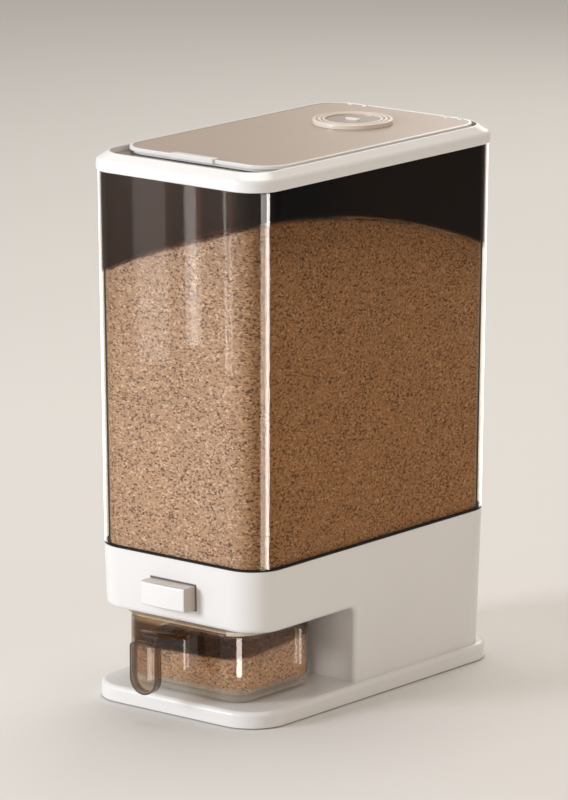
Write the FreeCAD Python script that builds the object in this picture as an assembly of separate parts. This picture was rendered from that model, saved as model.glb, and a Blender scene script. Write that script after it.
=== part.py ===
"""Rice dispenser with a measuring-cup drawer, as separate solids, one STEP file for each sub-part.

Millimetres. The body frame has X to the right seen from the front, Y to the back, Z up from the floor, with its
origin under the middle of the base plate. Every solid is moved by ORIGIN_SHIFT in Y when it is written, so that the
file's origin is the middle of the whole outline on the floor, the cup's handle included.
"""
import FreeCAD, Part
import math
import os

from FreeCAD import Vector

# --- outline -------------------------------------------------------------------------------------------------
BODY_WIDTH = 168.0            # base plate and lid ring, side to side
BASE_DEPTH = 292.0            # base plate, front to back
RING_DEPTH = 290.0            # lid ring, front to back
BASE_CORNER = 31.0            # plan corner radius of the base plate
RING_CORNER = 25.0            # plan corner radius of the lid ring, outside
HOUSING_CORNER = 27.0         # plan corner radius of the housing, outside

# --- heights, from the floor up ------------------------------------------------------------------------------
FOOT_STANDOFF = 1.0           # rubber pads below the base plate
BASE_THICKNESS = 12.0
BAY_HEIGHT = 58.0             # base plate to the bay's ceiling
BAND_HEIGHT = 47.0            # bay's ceiling to the housing's rim
SEAM_HEIGHT = 1.2             # gasket between the housing and the tank
TANK_HEIGHT = 280.8           # tank's shoulder to the lid ring's seat
RING_HEIGHT = 13.5
PANEL_RISE = 1.5              # flip panel's edge above the lid ring
DIAL_RISE = 3.0               # date dial above the flip panel's edge

# --- fits ----------------------------------------------------------------------------------------------------
PART_GAP = 0.2                # between mouldings that are pushed into each other
MOVING_GAP = 0.3              # beside faces that slide or turn past each other
PIN_GAP = 0.05                # radial, pins in their bores
SCREW_GAP = 0.05              # radial, screw shanks in their holes
FOOT_GAP = 0.1

# --- base plate ----------------------------------------------------------------------------------------------
BASE_SKIN = 2.5
BASE_EDGE_ROUND = 3.5
COVER_THICKNESS = 2.0
COVER_LEDGE = 1.5             # width of the ledge the cover lies against
COVER_SCREW_INSET = 16.0      # in from the side of the base plate
COVER_SCREW_Y = 60.0
FOOT_RADIUS = 9.0
FOOT_THICKNESS = 2.0
FOOT_INSET = 26.0             # in from the side of the base plate
FOOT_Y = 112.0

# --- housing -------------------------------------------------------------------------------------------------
HOUSING_WALL = 2.5
HOUSING_DRAFT_DEG = 1.37      # the housing narrows towards the base
HOUSING_LEDGE = 0.5           # housing's rim stands out past the tank
CEILING_THICKNESS = 2.5
PILLAR_FRONT_Y = -26.0        # front wall of the pillar behind the bay
PILLAR_WALL = 2.5
BAY_CORNER = 6.0              # round between the ceiling and the pillar's front wall
BAY_EDGE_ROUND = 4.0          # round along the bay's outer edge
RIM_DEPTH = 11.0              # rim to the shelf that carries the hopper
SHELF_THICKNESS = 2.5
SHELF_WIDTH = 4.0
HOUSING_SCREW_INSET = 11.5    # in from the side of the base plate
HOUSING_SCREW_FRONT_Y = -14.0
HOUSING_SCREW_BACK_Y = 100.0
HOUSING_BOSS_RADIUS = 4.2
HOUSING_BOSS_HEIGHT = 20.0

# --- tank ----------------------------------------------------------------------------------------------------
TANK_WALL = 3.0
TANK_STEP = 1.5               # shoulder at each end of the tank
TANK_DRAFT = 2.4              # the tank is this much narrower on each side at its foot
TANK_CORNER = 26.0
RING_OVERHANG = 0.8           # lid ring stands out past the tank
TONGUE_HEIGHT = 5.5           # tank's upper edge inside the lid ring
NECK_PLAY = 0.2               # tank's lower edge above the hopper
GASKET_INSET = 0.3            # seam lies back from the tank's face

# --- hopper --------------------------------------------------------------------------------------------------
HOPPER_PLATE = 2.3
HOPPER_WALL = 2.5
MOUTH_INSET = 14.0            # in from the side of the base plate
MOUTH_FRONT_Y = -100.0
MOUTH_BACK_Y = 132.0
MOUTH_CORNER = 18.0
OUTLET_Y = -75.0              # middle of the outlet slot
OUTLET_HALF_X = 18.0
OUTLET_LENGTH = 9.0           # front to back
OUTLET_WALL = 2.0
OUTLET_CORNER = 2.5
OUTLET_NECK_LENGTH = 3.9      # the outlet's lip to where the slopes meet its neck

# --- gate and its carrier ------------------------------------------------------------------------------------
BUTTON_TRAVEL = 10.0
GATE_THICKNESS = 2.0
GATE_HALF_X = 26.0
GATE_TAIL = 13.5              # closed plate behind the outlet's back edge at rest
CARRIER_FLOOR = 2.0
CARRIER_FRONT_Y = -116.0
CARRIER_BACK_Y = -52.0
RAIL_WIDTH = 5.7
RAIL_LIP = 2.8
RAIL_TOP = 2.7                # height of the lip over the gate
EAR_LENGTH = 10.0
EAR_THICKNESS = 2.0
CARRIER_BOSS_HEIGHT = 6.0
CARRIER_BOSS_RADIUS = 4.0
CARRIER_SCREW_X = 38.5
CARRIER_SCREW_FRONT_Y = -108.0
CARRIER_SCREW_BACK_Y = -60.0
POST_THICKNESS = 3.0
POST_HALF_X = 4.0
POST_FRONT_Y = -112.0

# --- button and springs --------------------------------------------------------------------------------------
BUTTON_WIDTH = 42.0
BUTTON_HEIGHT = 18.0
BUTTON_REACH = 14.0           # button's face in front of the housing
BUTTON_ABOVE_CEILING = 21.0   # middle of the button above the bay's ceiling
BUTTON_WALL = 2.2
BUTTON_CROWN = 1.2            # rise of the convex face
BUTTON_EDGE_ROUND = 1.6
FLANGE_THICKNESS = 2.5
FLANGE_HALF_X = 32.0
FLANGE_STOP = 0.4             # flange behind the housing's front wall
LEG_THICKNESS = 2.5
LEG_HALF_X = 16.0
LEG_TOP = 7.0                 # gate's leg above the middle of the button
BUTTON_SCREW_X = 11.0
SPRING_X = 27.0
PIN_RADIUS = 1.5
PIN_TIP = 0.6                 # pin's end behind the housing's front wall
SPRING_RADIUS = 3.1
SPRING_WIRE = 0.5
SPRING_TURNS = 8

# --- measuring cup -------------------------------------------------------------------------------------------
CUP_INSET = 25.0              # in from the side of the base plate
CUP_FRONT_Y = -135.0
CUP_BACK_Y = -41.0
CUP_CORNER = 22.0
CUP_CLEARANCE = 2.0           # cup's rim below the bay's ceiling
CUP_WALL = 2.0
CUP_FLOOR = 5.0
CUP_BOTTOM_ROUND = 10.0
RIM_WIDTH = 2.6
RIM_HEIGHT = 3.0
GRIP_REACH = 42.0             # front of the grip ahead of the cup
GRIP_HALF_X = 12.5
GRIP_THICKNESS = 6.5
GRIP_BOTTOM_Z = 22.0
GRIP_TOP_Z = 61.0
GRIP_TOP_CORNER = 4.0
GRIP_SHELL = 2.2
ARM_HALF_X = 7.8
ARM_THICKNESS = 4.0
ARM_ROOT_Z = 56.0
ARM_TOP_Z = 68.5
ARM_BEND = 9.0

# --- lid -----------------------------------------------------------------------------------------------------
RING_FACE = 8.0               # upright outer face of the ring
RING_CHAMFER = 6.6            # inward run of the sloping face
RING_LAND = 2.0               # flat top of the ring
RING_CREASE_ROUND = 4.0       # between the upright and the sloping face
RING_EDGE_ROUND = 0.8
RECESS_CORNER = 21.0          # sharper than the ring's, so the open panel clears it
RING_SKIRT_GAP = 0.2
LID_FLOOR_DROP = 4.0          # recess below the ring's top
OPENING_INSET = 24.0          # in from the side of the lid ring
OPENING_FRONT_INSET = 41.0    # in from the front of the lid ring
OPENING_BACK_INSET = 29.0     # in from the back of the lid ring
OPENING_CORNER = 20.0
COLLAR_WIDTH = 2.2
COLLAR_HEIGHT = 1.5
RING_GASKET = 1.0
PANEL_SIDE_GAP = 1.6
PANEL_SETBACK = 18.5          # front edge of the panel behind the recess's front wall
PANEL_BACK_GAP = 2.0
PANEL_CORNER = 24.0
PANEL_SKIN = 2.0
PANEL_LIP_WIDTH = 2.2
PANEL_LIP_HEIGHT = 0.5
PANEL_SKIRT_GAP = 0.5         # panel's skirt above the recess floor
PANEL_SKIRT_WALL = 1.8
PANEL_SKIRT_SETBACK = 3.0     # the panel's edge stands out past its skirt
PANEL_SKIRT_END_Y = 122.0
TAB_HALF_X = 20.5
TAB_LENGTH = 7.0
TAB_OVERHANG = 2.0
TAB_RISE = 0.9
HINGE_INSET = 2.5             # hinge axis in front of the panel's back edge
HINGE_BARREL_RADIUS = 2.1
HINGE_PIN_RADIUS = 1.0
HINGE_INSET_X = 38.0          # middle of each barrel in from the side of the lid ring
BARREL_LENGTH = 9.0
EAR_WIDTH = 4.0

# --- date dial and desiccant holder --------------------------------------------------------------------------
DIAL_Y = 68.0
DIAL_RADIUS = 30.4
DIAL_SEAT_GAP = 0.1
CAP_RADIUS = 19.5
CAP_LIP = 1.2                 # cap's lip over the dial's inner step
CAP_DROP = 0.8                # cap's top below the dial's rim
CAP_LIP_THICKNESS = 1.1
BAR_HALF_X = 6.5
BAR_HALF_Y = 2.6
BAR_RISE = 0.8
BASKET_RADIUS = 17.8
BASKET_FLANGE_RADIUS = 22.0
BASKET_FLANGE = 1.0
BASKET_WALL = 1.5
BASKET_DEPTH = 26.0
BASKET_SLOTS = 12
BASKET_SLOT_WIDTH = 2.4
BASKET_SLOT_HEIGHT = 12.0
PACK_HEIGHT = 14.0

# --- small fasteners -----------------------------------------------------------------------------------------
SCREW_RADIUS = 1.25
SCREW_HEAD_RADIUS = 2.7
SCREW_HEAD_HEIGHT = 1.8
BIG_SCREW_RADIUS = 1.6
BIG_SCREW_HEAD_RADIUS = 3.2
BIG_SCREW_HEAD_HEIGHT = 2.2
SCREW_TIP_ROOM = 1.0          # end of a blind hole past the screw's tip
SCREW_BOSS_WALL = 2.0
CUT = 2.0                     # how far a cutting solid runs past a face

# --- places worked out from the sizes ------------------------------------------------------------------------
HALF_WIDTH = BODY_WIDTH / 2
COVER_SCREW_X = HALF_WIDTH - COVER_SCREW_INSET
FOOT_X = HALF_WIDTH - FOOT_INSET
HOUSING_SCREW_X = HALF_WIDTH - HOUSING_SCREW_INSET
MOUTH_HALF_X = HALF_WIDTH - MOUTH_INSET
CUP_HALF_X = HALF_WIDTH - CUP_INSET
OPENING_HALF_X = HALF_WIDTH - OPENING_INSET
HINGE_X = HALF_WIDTH - HINGE_INSET_X
BASE_HALF_Y = BASE_DEPTH / 2
RING_HALF_Y = RING_DEPTH / 2
OPENING_FRONT_Y = OPENING_FRONT_INSET - RING_HALF_Y
OPENING_BACK_Y = RING_HALF_Y - OPENING_BACK_INSET
Z_BASE = FOOT_STANDOFF
Z_BASE_TOP = Z_BASE + BASE_THICKNESS
Z_CEILING = Z_BASE_TOP + BAY_HEIGHT
Z_CEILING_TOP = Z_CEILING + CEILING_THICKNESS
Z_RIM = Z_CEILING + BAND_HEIGHT
Z_SHELF = Z_RIM - RIM_DEPTH
Z_HOPPER_TOP = Z_SHELF + HOPPER_PLATE
Z_SHOULDER = Z_RIM + SEAM_HEIGHT
Z_SEAT = Z_SHOULDER + TANK_HEIGHT
Z_RING_TOP = Z_SEAT + RING_HEIGHT
Z_LID_FLOOR = Z_RING_TOP - LID_FLOOR_DROP
Z_PANEL = Z_RING_TOP + PANEL_RISE
Z_PANEL_FACE = Z_PANEL - PANEL_LIP_HEIGHT
Z_PANEL_UNDER = Z_PANEL_FACE - PANEL_SKIN
Z_DIAL_TOP = Z_PANEL + DIAL_RISE
Z_GATE = Z_CEILING_TOP + CARRIER_FLOOR + MOVING_GAP
Z_GATE_TOP = Z_GATE + GATE_THICKNESS
Z_LIP = Z_GATE_TOP + MOVING_GAP
Z_FUNNEL_FOOT = Z_LIP + OUTLET_NECK_LENGTH
Z_RAIL_TOP = Z_LIP + RAIL_TOP
Z_BUTTON = Z_CEILING + BUTTON_ABOVE_CEILING
GRIP_FRONT_Y = CUP_FRONT_Y - GRIP_REACH
ORIGIN_SHIFT = (-GRIP_FRONT_Y - BASE_HALF_Y) / 2


# --- shared helpers ------------------------------------------------------------------------------------------
def rounded_wire(half_x, half_y, radius, z, y=0.0):
    """Closed outline of a rounded rectangle at height z, its middle at (0, y)."""
    flat_x = half_x - radius
    flat_y = half_y - radius
    diagonal = radius * math.sqrt(0.5)
    edges = []
    for quarter in range(4):
        angle = quarter * 90
        turn = FreeCAD.Rotation(Vector(0, 0, 1), angle)
        along_x, along_y = (flat_x, flat_y) if quarter % 2 == 0 else (flat_y, flat_x)
        start = Vector(along_x + radius, along_y, 0)
        middle = Vector(along_x + diagonal, along_y + diagonal, 0)
        end = Vector(along_x, along_y + radius, 0)
        points = [turn.multVec(p) + Vector(0, y, z) for p in (start, middle, end)]
        next_end = turn.multVec(Vector(-along_x, along_y + radius, 0)) + Vector(0, y, z)
        edges.append(Part.Arc(*points).toShape())
        edges.append(Part.LineSegment(points[2], next_end).toShape())
    return Part.Wire(edges)


def slab(outline, z_low, z_high, y=0.0):
    """Upright rounded-rectangular block. outline is (half_x, half_y, radius)."""
    face = Part.Face(rounded_wire(*outline, z_low, y))
    return face.extrude(Vector(0, 0, z_high - z_low))


def taper(outline_low, z_low, outline_high, z_high, y_low=0.0, y_high=0.0):
    """Block that runs straight from one rounded rectangle to another."""
    wires = [rounded_wire(*outline_low, z_low, y_low), rounded_wire(*outline_high, z_high, y_high)]
    return Part.makeLoft(wires, True, True)


def inset(outline, distance):
    """Outline moved inwards by distance, outwards where it is negative."""
    half_x, half_y, radius = outline
    return (half_x - distance, half_y - distance, max(radius - distance, 1.0))


def box(x_low, x_high, y_low, y_high, z_low, z_high):
    """Plain block between two corners."""
    corner = Vector(x_low, y_low, z_low)
    return Part.makeBox(x_high - x_low, y_high - y_low, z_high - z_low, corner)


def disc(radius, z_low, z_high, x=0.0, y=0.0):
    """Upright cylinder."""
    return Part.makeCylinder(radius, z_high - z_low, Vector(x, y, z_low))


def rod(radius, start, end):
    """Cylinder from one point to another."""
    return Part.makeCylinder(radius, start.distanceToPoint(end), start, end - start)


def tube(outer, inner, z_low, z_high, x=0.0, y=0.0):
    """Upright ring."""
    return disc(outer, z_low, z_high, x, y).cut(disc(inner, z_low - CUT, z_high + CUT, x, y))


def fused(first, *others):
    """One clean solid from several that touch or overlap."""
    return first.multiFuse(list(others)).removeSplitter()


def corners(x, *ys):
    """The four places (+-x, y) of a symmetrical set of fasteners."""
    return [(side * x, y) for y in ys for side in (-1, 1)]


def span(y_low, y_high):
    """Middle and half length of a stretch along Y."""
    return (y_low + y_high) / 2, (y_high - y_low) / 2


def screw_up(x, y, z_seat, length, radius, head_radius, head_height):
    """Screw driven upwards: its head lies under z_seat."""
    head = disc(head_radius, z_seat - head_height, z_seat, x, y)
    return fused(head, disc(radius, z_seat, z_seat + length, x, y))


def screw_down(x, y, z_seat, length):
    """Small screw driven downwards: its head lies on z_seat."""
    head = disc(SCREW_HEAD_RADIUS, z_seat, z_seat + SCREW_HEAD_HEIGHT, x, y)
    return fused(head, disc(SCREW_RADIUS, z_seat - length, z_seat, x, y))


# --- outlines that several pieces share ----------------------------------------------------------------------
def tank_outline(z):
    """Outside of the tank at height z; it narrows evenly towards its foot."""
    fall = TANK_DRAFT * (Z_SEAT - z) / TANK_HEIGHT
    side = HALF_WIDTH - RING_OVERHANG - fall
    end = RING_HALF_Y - RING_OVERHANG - fall
    return (side, end, TANK_CORNER)


def housing_outline(z):
    """Outside of the housing at height z."""
    half_x, half_y, _ = tank_outline(Z_SHOULDER)
    fall = (Z_RIM - z) * math.tan(math.radians(HOUSING_DRAFT_DEG))
    return (half_x + HOUSING_LEDGE - fall, half_y + HOUSING_LEDGE - fall, HOUSING_CORNER)


def neck_outline():
    """Outside of the tank's lower edge, where it goes into the housing."""
    return inset(tank_outline(Z_SHOULDER), TANK_STEP)


def tongue_outline():
    """Outside of the tank's upper edge, where it goes into the lid ring."""
    return inset(tank_outline(Z_SEAT), TANK_STEP)


def ring_outline():
    """Outside of the lid ring's upright face."""
    return (HALF_WIDTH, RING_HALF_Y, RING_CORNER)


def ring_top_outline():
    """Outer edge of the lid ring's flat top. The corner keeps its radius up the slope."""
    return (HALF_WIDTH - RING_CHAMFER, RING_HALF_Y - RING_CHAMFER, RING_CORNER)


def recess_outline():
    """Inner edge of the lid ring's flat top."""
    half_x, half_y, _ = ring_top_outline()
    return (half_x - RING_LAND, half_y - RING_LAND, RECESS_CORNER)


def panel_place():
    """Outline of the flip panel and the Y of its middle."""
    half_x, half_y, _ = recess_outline()
    middle, half = span(-half_y + PANEL_SETBACK, half_y - PANEL_BACK_GAP)
    return (half_x - PANEL_SIDE_GAP, half, PANEL_CORNER), middle


def panel_back():
    """Y of the flip panel's back edge."""
    outline, middle = panel_place()
    return middle + outline[1]


def hinge_axis():
    """Y and Z of the flip panel's hinge."""
    return panel_back() - HINGE_INSET, Z_PANEL - HINGE_BARREL_RADIUS


def housing_front(z):
    """Y of the housing's front face at height z."""
    return -housing_outline(z)[1]


def flange_front():
    """Y of the button flange's front face: its lower edge stays behind the housing's wall."""
    lowest = Z_BUTTON - BUTTON_HEIGHT / 2
    return housing_front(lowest) + HOUSING_WALL + FLANGE_STOP


def flange_back():
    """Y of the button's back face."""
    return flange_front() + FLANGE_THICKNESS


# --- base ----------------------------------------------------------------------------------------------------
def base_outline():
    return (HALF_WIDTH, BASE_HALF_Y, BASE_CORNER)


def make_base_plate():
    """Foot plate: a shallow shell, open below, with posts for the cover's screws."""
    body = slab(base_outline(), Z_BASE, Z_BASE_TOP)
    top_edges = [e for e in body.Edges if e.BoundBox.ZMin > Z_BASE_TOP - 0.01]
    body = body.makeFillet(BASE_EDGE_ROUND, top_edges)
    z_ledge = Z_BASE + COVER_THICKNESS
    recess = slab(inset(base_outline(), BASE_SKIN), Z_BASE - CUT, z_ledge)
    hollow = slab(inset(base_outline(), BASE_SKIN + COVER_LEDGE), z_ledge - CUT, Z_BASE_TOP - BASE_SKIN)
    body = body.cut(recess).cut(hollow)
    for x, y in corners(COVER_SCREW_X, -COVER_SCREW_Y, COVER_SCREW_Y):
        post = disc(SCREW_RADIUS + SCREW_BOSS_WALL, z_ledge, Z_BASE_TOP - BASE_SKIN, x, y)
        pilot = disc(SCREW_RADIUS + SCREW_GAP, z_ledge - CUT, Z_BASE_TOP - BASE_SKIN, x, y)
        body = body.fuse(post).cut(pilot)
    for x, y in corners(HOUSING_SCREW_X, HOUSING_SCREW_FRONT_Y, HOUSING_SCREW_BACK_Y):
        body = body.cut(disc(BIG_SCREW_RADIUS + SCREW_GAP, Z_BASE, Z_BASE_TOP + CUT, x, y))
    return body.removeSplitter()


def make_base_cover():
    """Flat cover under the base plate, with pockets for the feet and the screw heads."""
    body = slab(inset(base_outline(), BASE_SKIN + PART_GAP), Z_BASE, Z_BASE + COVER_THICKNESS)
    pocket_top = Z_BASE + FOOT_THICKNESS - FOOT_STANDOFF
    for x, y in corners(FOOT_X, -FOOT_Y, FOOT_Y):
        body = body.cut(disc(FOOT_RADIUS + FOOT_GAP, Z_BASE - CUT, pocket_top, x, y))
    for x, y in corners(COVER_SCREW_X, -COVER_SCREW_Y, COVER_SCREW_Y):
        body = body.cut(disc(SCREW_HEAD_RADIUS + SCREW_GAP, Z_BASE - CUT, cover_screw_seat(), x, y))
        body = body.cut(disc(SCREW_RADIUS + SCREW_GAP, Z_BASE, Z_BASE + COVER_THICKNESS + CUT, x, y))
    return body


def cover_screw_seat():
    """Height of the step in the cover that a screw's head bears on."""
    return Z_BASE + COVER_THICKNESS / 2


def make_cover_screws():
    """Flat-headed screws that hold the cover."""
    room = Z_BASE_TOP - BASE_SKIN - SCREW_TIP_ROOM - cover_screw_seat()
    head = COVER_THICKNESS / 2
    places = corners(COVER_SCREW_X, -COVER_SCREW_Y, COVER_SCREW_Y)
    return [screw_up(x, y, cover_screw_seat(), room, SCREW_RADIUS, SCREW_HEAD_RADIUS, head) for x, y in places]


def make_base_feet():
    """Rubber pads in the cover's pockets; they stand on the floor."""
    pads = []
    for x, y in corners(FOOT_X, -FOOT_Y, FOOT_Y):
        pads.append(disc(FOOT_RADIUS, 0.0, FOOT_THICKNESS, x, y))
    return pads


# --- housing -------------------------------------------------------------------------------------------------
def bay_cutter():
    """Space of the open bay, from side to side, with the rounded corner under the ceiling."""
    reach = HALF_WIDTH + 10 * CUT
    front = -BASE_HALF_Y - 10 * CUT
    body = box(-reach, reach, front, PILLAR_FRONT_Y, Z_BASE_TOP - CUT, Z_CEILING)
    rear_top = [
        e for e in body.Edges
        if abs(e.BoundBox.YMin - PILLAR_FRONT_Y) < 0.01 and abs(e.BoundBox.YMax - PILLAR_FRONT_Y) < 0.01
        and abs(e.BoundBox.ZMin - Z_CEILING) < 0.01
    ]
    return body.makeFillet(BAY_CORNER, rear_top)


def bay_edges(body):
    """Edges of the bay's outer border: round the overhang, down both sides of the pillar."""
    found = []
    for edge in body.Edges:
        span_box = edge.BoundBox
        low = span_box.ZMin > Z_BASE_TOP - 0.01 and span_box.ZMax < Z_CEILING + 0.01
        in_bay = span_box.YMax < PILLAR_FRONT_Y + 0.01
        across = span_box.XMax - span_box.XMin > BODY_WIDTH / 2 and span_box.YMax > PILLAR_FRONT_Y - 2 * BAY_CORNER
        on_floor = span_box.ZMax < Z_BASE_TOP + 0.01
        if low and in_bay and not across and not on_floor:
            found.append(edge)
    return found


def housing_cavity():
    """Everything inside the housing's walls: rim bore, shelf opening, band and pillar."""
    bore = slab(inset(neck_outline(), -PART_GAP), Z_SHELF, Z_RIM + CUT)
    shelf_opening = slab(inset(neck_outline(), SHELF_WIDTH - PART_GAP), Z_SHELF - SHELF_THICKNESS - CUT, Z_RIM)
    z_band_top = Z_SHELF - SHELF_THICKNESS
    inside_low = inset(housing_outline(Z_BASE_TOP - CUT), HOUSING_WALL)
    inside_high = inset(housing_outline(z_band_top), HOUSING_WALL)
    inside = taper(inside_low, Z_BASE_TOP - CUT, inside_high, z_band_top)
    reach = HALF_WIDTH + CUT
    over_bay = box(-reach, reach, -BASE_HALF_Y, PILLAR_FRONT_Y + PILLAR_WALL, Z_BASE_TOP - 2 * CUT, Z_CEILING_TOP)
    return bore.fuse(shelf_opening).fuse(inside.cut(over_bay))


def make_housing():
    """White band with its overhang, the bay below it and the hollow pillar behind."""
    body = taper(housing_outline(Z_BASE_TOP), Z_BASE_TOP, housing_outline(Z_RIM), Z_RIM)
    body = body.cut(bay_cutter())
    body = body.makeFillet(BAY_EDGE_ROUND, bay_edges(body))
    body = body.cut(housing_cavity())
    outer = taper(housing_outline(Z_BASE_TOP), Z_BASE_TOP, housing_outline(Z_RIM), Z_RIM)
    boss_top = Z_BASE_TOP + HOUSING_BOSS_HEIGHT
    for x, y in corners(HOUSING_SCREW_X, HOUSING_SCREW_FRONT_Y, HOUSING_SCREW_BACK_Y):
        body = body.fuse(disc(HOUSING_BOSS_RADIUS, Z_BASE_TOP, boss_top, x, y).common(outer))
    for x, y in corners(HOUSING_SCREW_X, HOUSING_SCREW_FRONT_Y, HOUSING_SCREW_BACK_Y):
        pilot_top = boss_top - SCREW_TIP_ROOM
        body = body.cut(disc(BIG_SCREW_RADIUS + SCREW_GAP, Z_BASE_TOP - CUT, pilot_top, x, y))
    for x, y in corners(CARRIER_SCREW_X, CARRIER_SCREW_FRONT_Y, CARRIER_SCREW_BACK_Y):
        boss = disc(CARRIER_BOSS_RADIUS, Z_CEILING_TOP, Z_CEILING_TOP + CARRIER_BOSS_HEIGHT, x, y)
        pilot = disc(SCREW_RADIUS + SCREW_GAP, Z_CEILING_TOP, Z_CEILING_TOP + CARRIER_BOSS_HEIGHT + CUT, x, y)
        body = body.fuse(boss).cut(pilot)
    body = body.cut(button_hole()).cut(spout_hole())
    return body.removeSplitter()


def button_hole():
    """Opening in the housing's front wall that the button slides in."""
    half_x = BUTTON_WIDTH / 2 + MOVING_GAP
    half_z = BUTTON_HEIGHT / 2 + MOVING_GAP
    front = housing_front(Z_RIM) - CUT
    return box(-half_x, half_x, front, flange_front(), Z_BUTTON - half_z, Z_BUTTON + half_z)


def spout_outline():
    """Outside of the carrier's spout."""
    return (OUTLET_HALF_X + OUTLET_WALL, OUTLET_LENGTH / 2 + OUTLET_WALL, OUTLET_CORNER + OUTLET_WALL)


def outlet_outline():
    """The passage that the rice falls through."""
    return (OUTLET_HALF_X, OUTLET_LENGTH / 2, OUTLET_CORNER)


def spout_hole():
    """Opening in the bay's ceiling for the spout."""
    return slab(inset(spout_outline(), -PART_GAP), Z_CEILING - CUT, Z_CEILING_TOP + CUT / 4, OUTLET_Y)


def make_housing_screws():
    """Screws up through the base plate into the pillar's bosses."""
    z_seat = Z_BASE_TOP - BASE_SKIN
    length = BASE_SKIN + HOUSING_BOSS_HEIGHT - 2 * SCREW_TIP_ROOM
    places = corners(HOUSING_SCREW_X, HOUSING_SCREW_FRONT_Y, HOUSING_SCREW_BACK_Y)
    head = (BIG_SCREW_RADIUS, BIG_SCREW_HEAD_RADIUS, BIG_SCREW_HEAD_HEIGHT)
    return [screw_up(x, y, z_seat, length, *head) for x, y in places]


# --- tank ----------------------------------------------------------------------------------------------------
def make_tank():
    """Clear tube with a stepped edge at each end."""
    z_neck = Z_HOPPER_TOP + NECK_PLAY
    z_tongue = Z_SEAT + TONGUE_HEIGHT
    wall = taper(tank_outline(Z_SHOULDER), Z_SHOULDER, tank_outline(Z_SEAT), Z_SEAT)
    neck = slab(neck_outline(), z_neck, Z_SHOULDER)
    tongue = slab(tongue_outline(), Z_SEAT, z_tongue)
    inner_low = inset(tank_outline(Z_SHOULDER), TANK_WALL)
    inner_high = inset(tank_outline(Z_SEAT), TANK_WALL)
    inside = taper(inner_low, Z_SHOULDER, inner_high, Z_SEAT)
    body = wall.fuse(neck).fuse(tongue)
    body = body.cut(inside).cut(slab(inner_low, z_neck - CUT, Z_SHOULDER))
    return body.cut(slab(inner_high, Z_SEAT, z_tongue + CUT)).removeSplitter()


def make_tank_gasket():
    """Dark seal under the tank's shoulder, on the housing's rim."""
    outside = slab(inset(tank_outline(Z_SHOULDER), GASKET_INSET), Z_RIM, Z_SHOULDER)
    return outside.cut(slab(inset(neck_outline(), -PART_GAP), Z_RIM - CUT, Z_SHOULDER + CUT))


# --- hopper --------------------------------------------------------------------------------------------------
def make_hopper():
    """Funnel tray: a flat border on the housing's shelf, slopes down to the outlet slot."""
    mouth_y, mouth_half_y = span(MOUTH_FRONT_Y, MOUTH_BACK_Y)
    mouth = (MOUTH_HALF_X, mouth_half_y, MOUTH_CORNER)
    z_foot_outside = Z_FUNNEL_FOOT - HOPPER_WALL
    plate = slab(neck_outline(), Z_SHELF, Z_HOPPER_TOP)
    z_under = Z_HOPPER_TOP - HOPPER_WALL
    skin = taper(spout_outline(), z_foot_outside, inset(mouth, -HOPPER_WALL), z_under, OUTLET_Y, mouth_y)
    edge = slab(inset(mouth, -HOPPER_WALL), z_under, Z_HOPPER_TOP, mouth_y)
    neck = slab(spout_outline(), Z_LIP, Z_FUNNEL_FOOT, OUTLET_Y)
    space = taper(outlet_outline(), Z_FUNNEL_FOOT, mouth, Z_HOPPER_TOP, OUTLET_Y, mouth_y)
    passage = slab(outlet_outline(), Z_LIP - CUT, Z_FUNNEL_FOOT, OUTLET_Y)
    return fused(plate, skin, edge, neck).cut(space).cut(passage).removeSplitter()


# --- gate carrier, gate and button ---------------------------------------------------------------------------
def make_gate_carrier():
    """Guide frame on the bay's ceiling: floor with spout, two lipped rails, two spring posts, four ears."""
    rail_in = GATE_HALF_X + MOVING_GAP
    rail_out = rail_in + RAIL_WIDTH
    z_floor = Z_CEILING_TOP + CARRIER_FLOOR
    parts = [slab(spout_outline(), Z_CEILING, z_floor, OUTLET_Y)]
    body = box(-rail_out, rail_out, CARRIER_FRONT_Y, CARRIER_BACK_Y, Z_CEILING_TOP, z_floor)
    ear_low = Z_CEILING_TOP + CARRIER_BOSS_HEIGHT
    ear_high = ear_low + EAR_THICKNESS
    for side in (-1, 1):
        near, far = sorted((side * rail_in, side * rail_out))
        parts.append(box(near, far, CARRIER_FRONT_Y, CARRIER_BACK_Y, z_floor, Z_RAIL_TOP))
        near, far = sorted((side * (rail_in - RAIL_LIP), side * rail_out))
        parts.append(box(near, far, CARRIER_FRONT_Y, CARRIER_BACK_Y, Z_LIP, Z_RAIL_TOP))
        post_top = Z_BUTTON + BUTTON_HEIGHT / 2
        post_x = side * SPRING_X
        post_back = POST_FRONT_Y + POST_THICKNESS
        parts.append(box(post_x - POST_HALF_X, post_x + POST_HALF_X, POST_FRONT_Y, post_back, Z_LIP, post_top))
        for y in (CARRIER_SCREW_FRONT_Y, CARRIER_SCREW_BACK_Y):
            near, far = sorted((side * (rail_out - CUT), side * (CARRIER_SCREW_X + CARRIER_BOSS_RADIUS)))
            parts.append(box(near, far, y - EAR_LENGTH / 2, y + EAR_LENGTH / 2, ear_low, ear_high))
    body = fused(body, *parts)
    body = body.cut(slab(outlet_outline(), Z_CEILING - CUT, z_floor + CUT, OUTLET_Y))
    for x, y in corners(CARRIER_SCREW_X, CARRIER_SCREW_FRONT_Y, CARRIER_SCREW_BACK_Y):
        body = body.cut(disc(SCREW_RADIUS + SCREW_GAP, ear_low - CUT, ear_high + CUT, x, y))
    for side in (-1, 1):
        body = body.cut(spring_bore(side, PIN_RADIUS + PIN_GAP, POST_FRONT_Y - CUT, 0.0))
    return body.removeSplitter()


def spring_bore(side, radius, start_y, end_y):
    """Cylinder along Y on the axis of one return spring."""
    x = side * SPRING_X
    return rod(radius, Vector(x, start_y, Z_BUTTON), Vector(x, end_y, Z_BUTTON))


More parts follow.
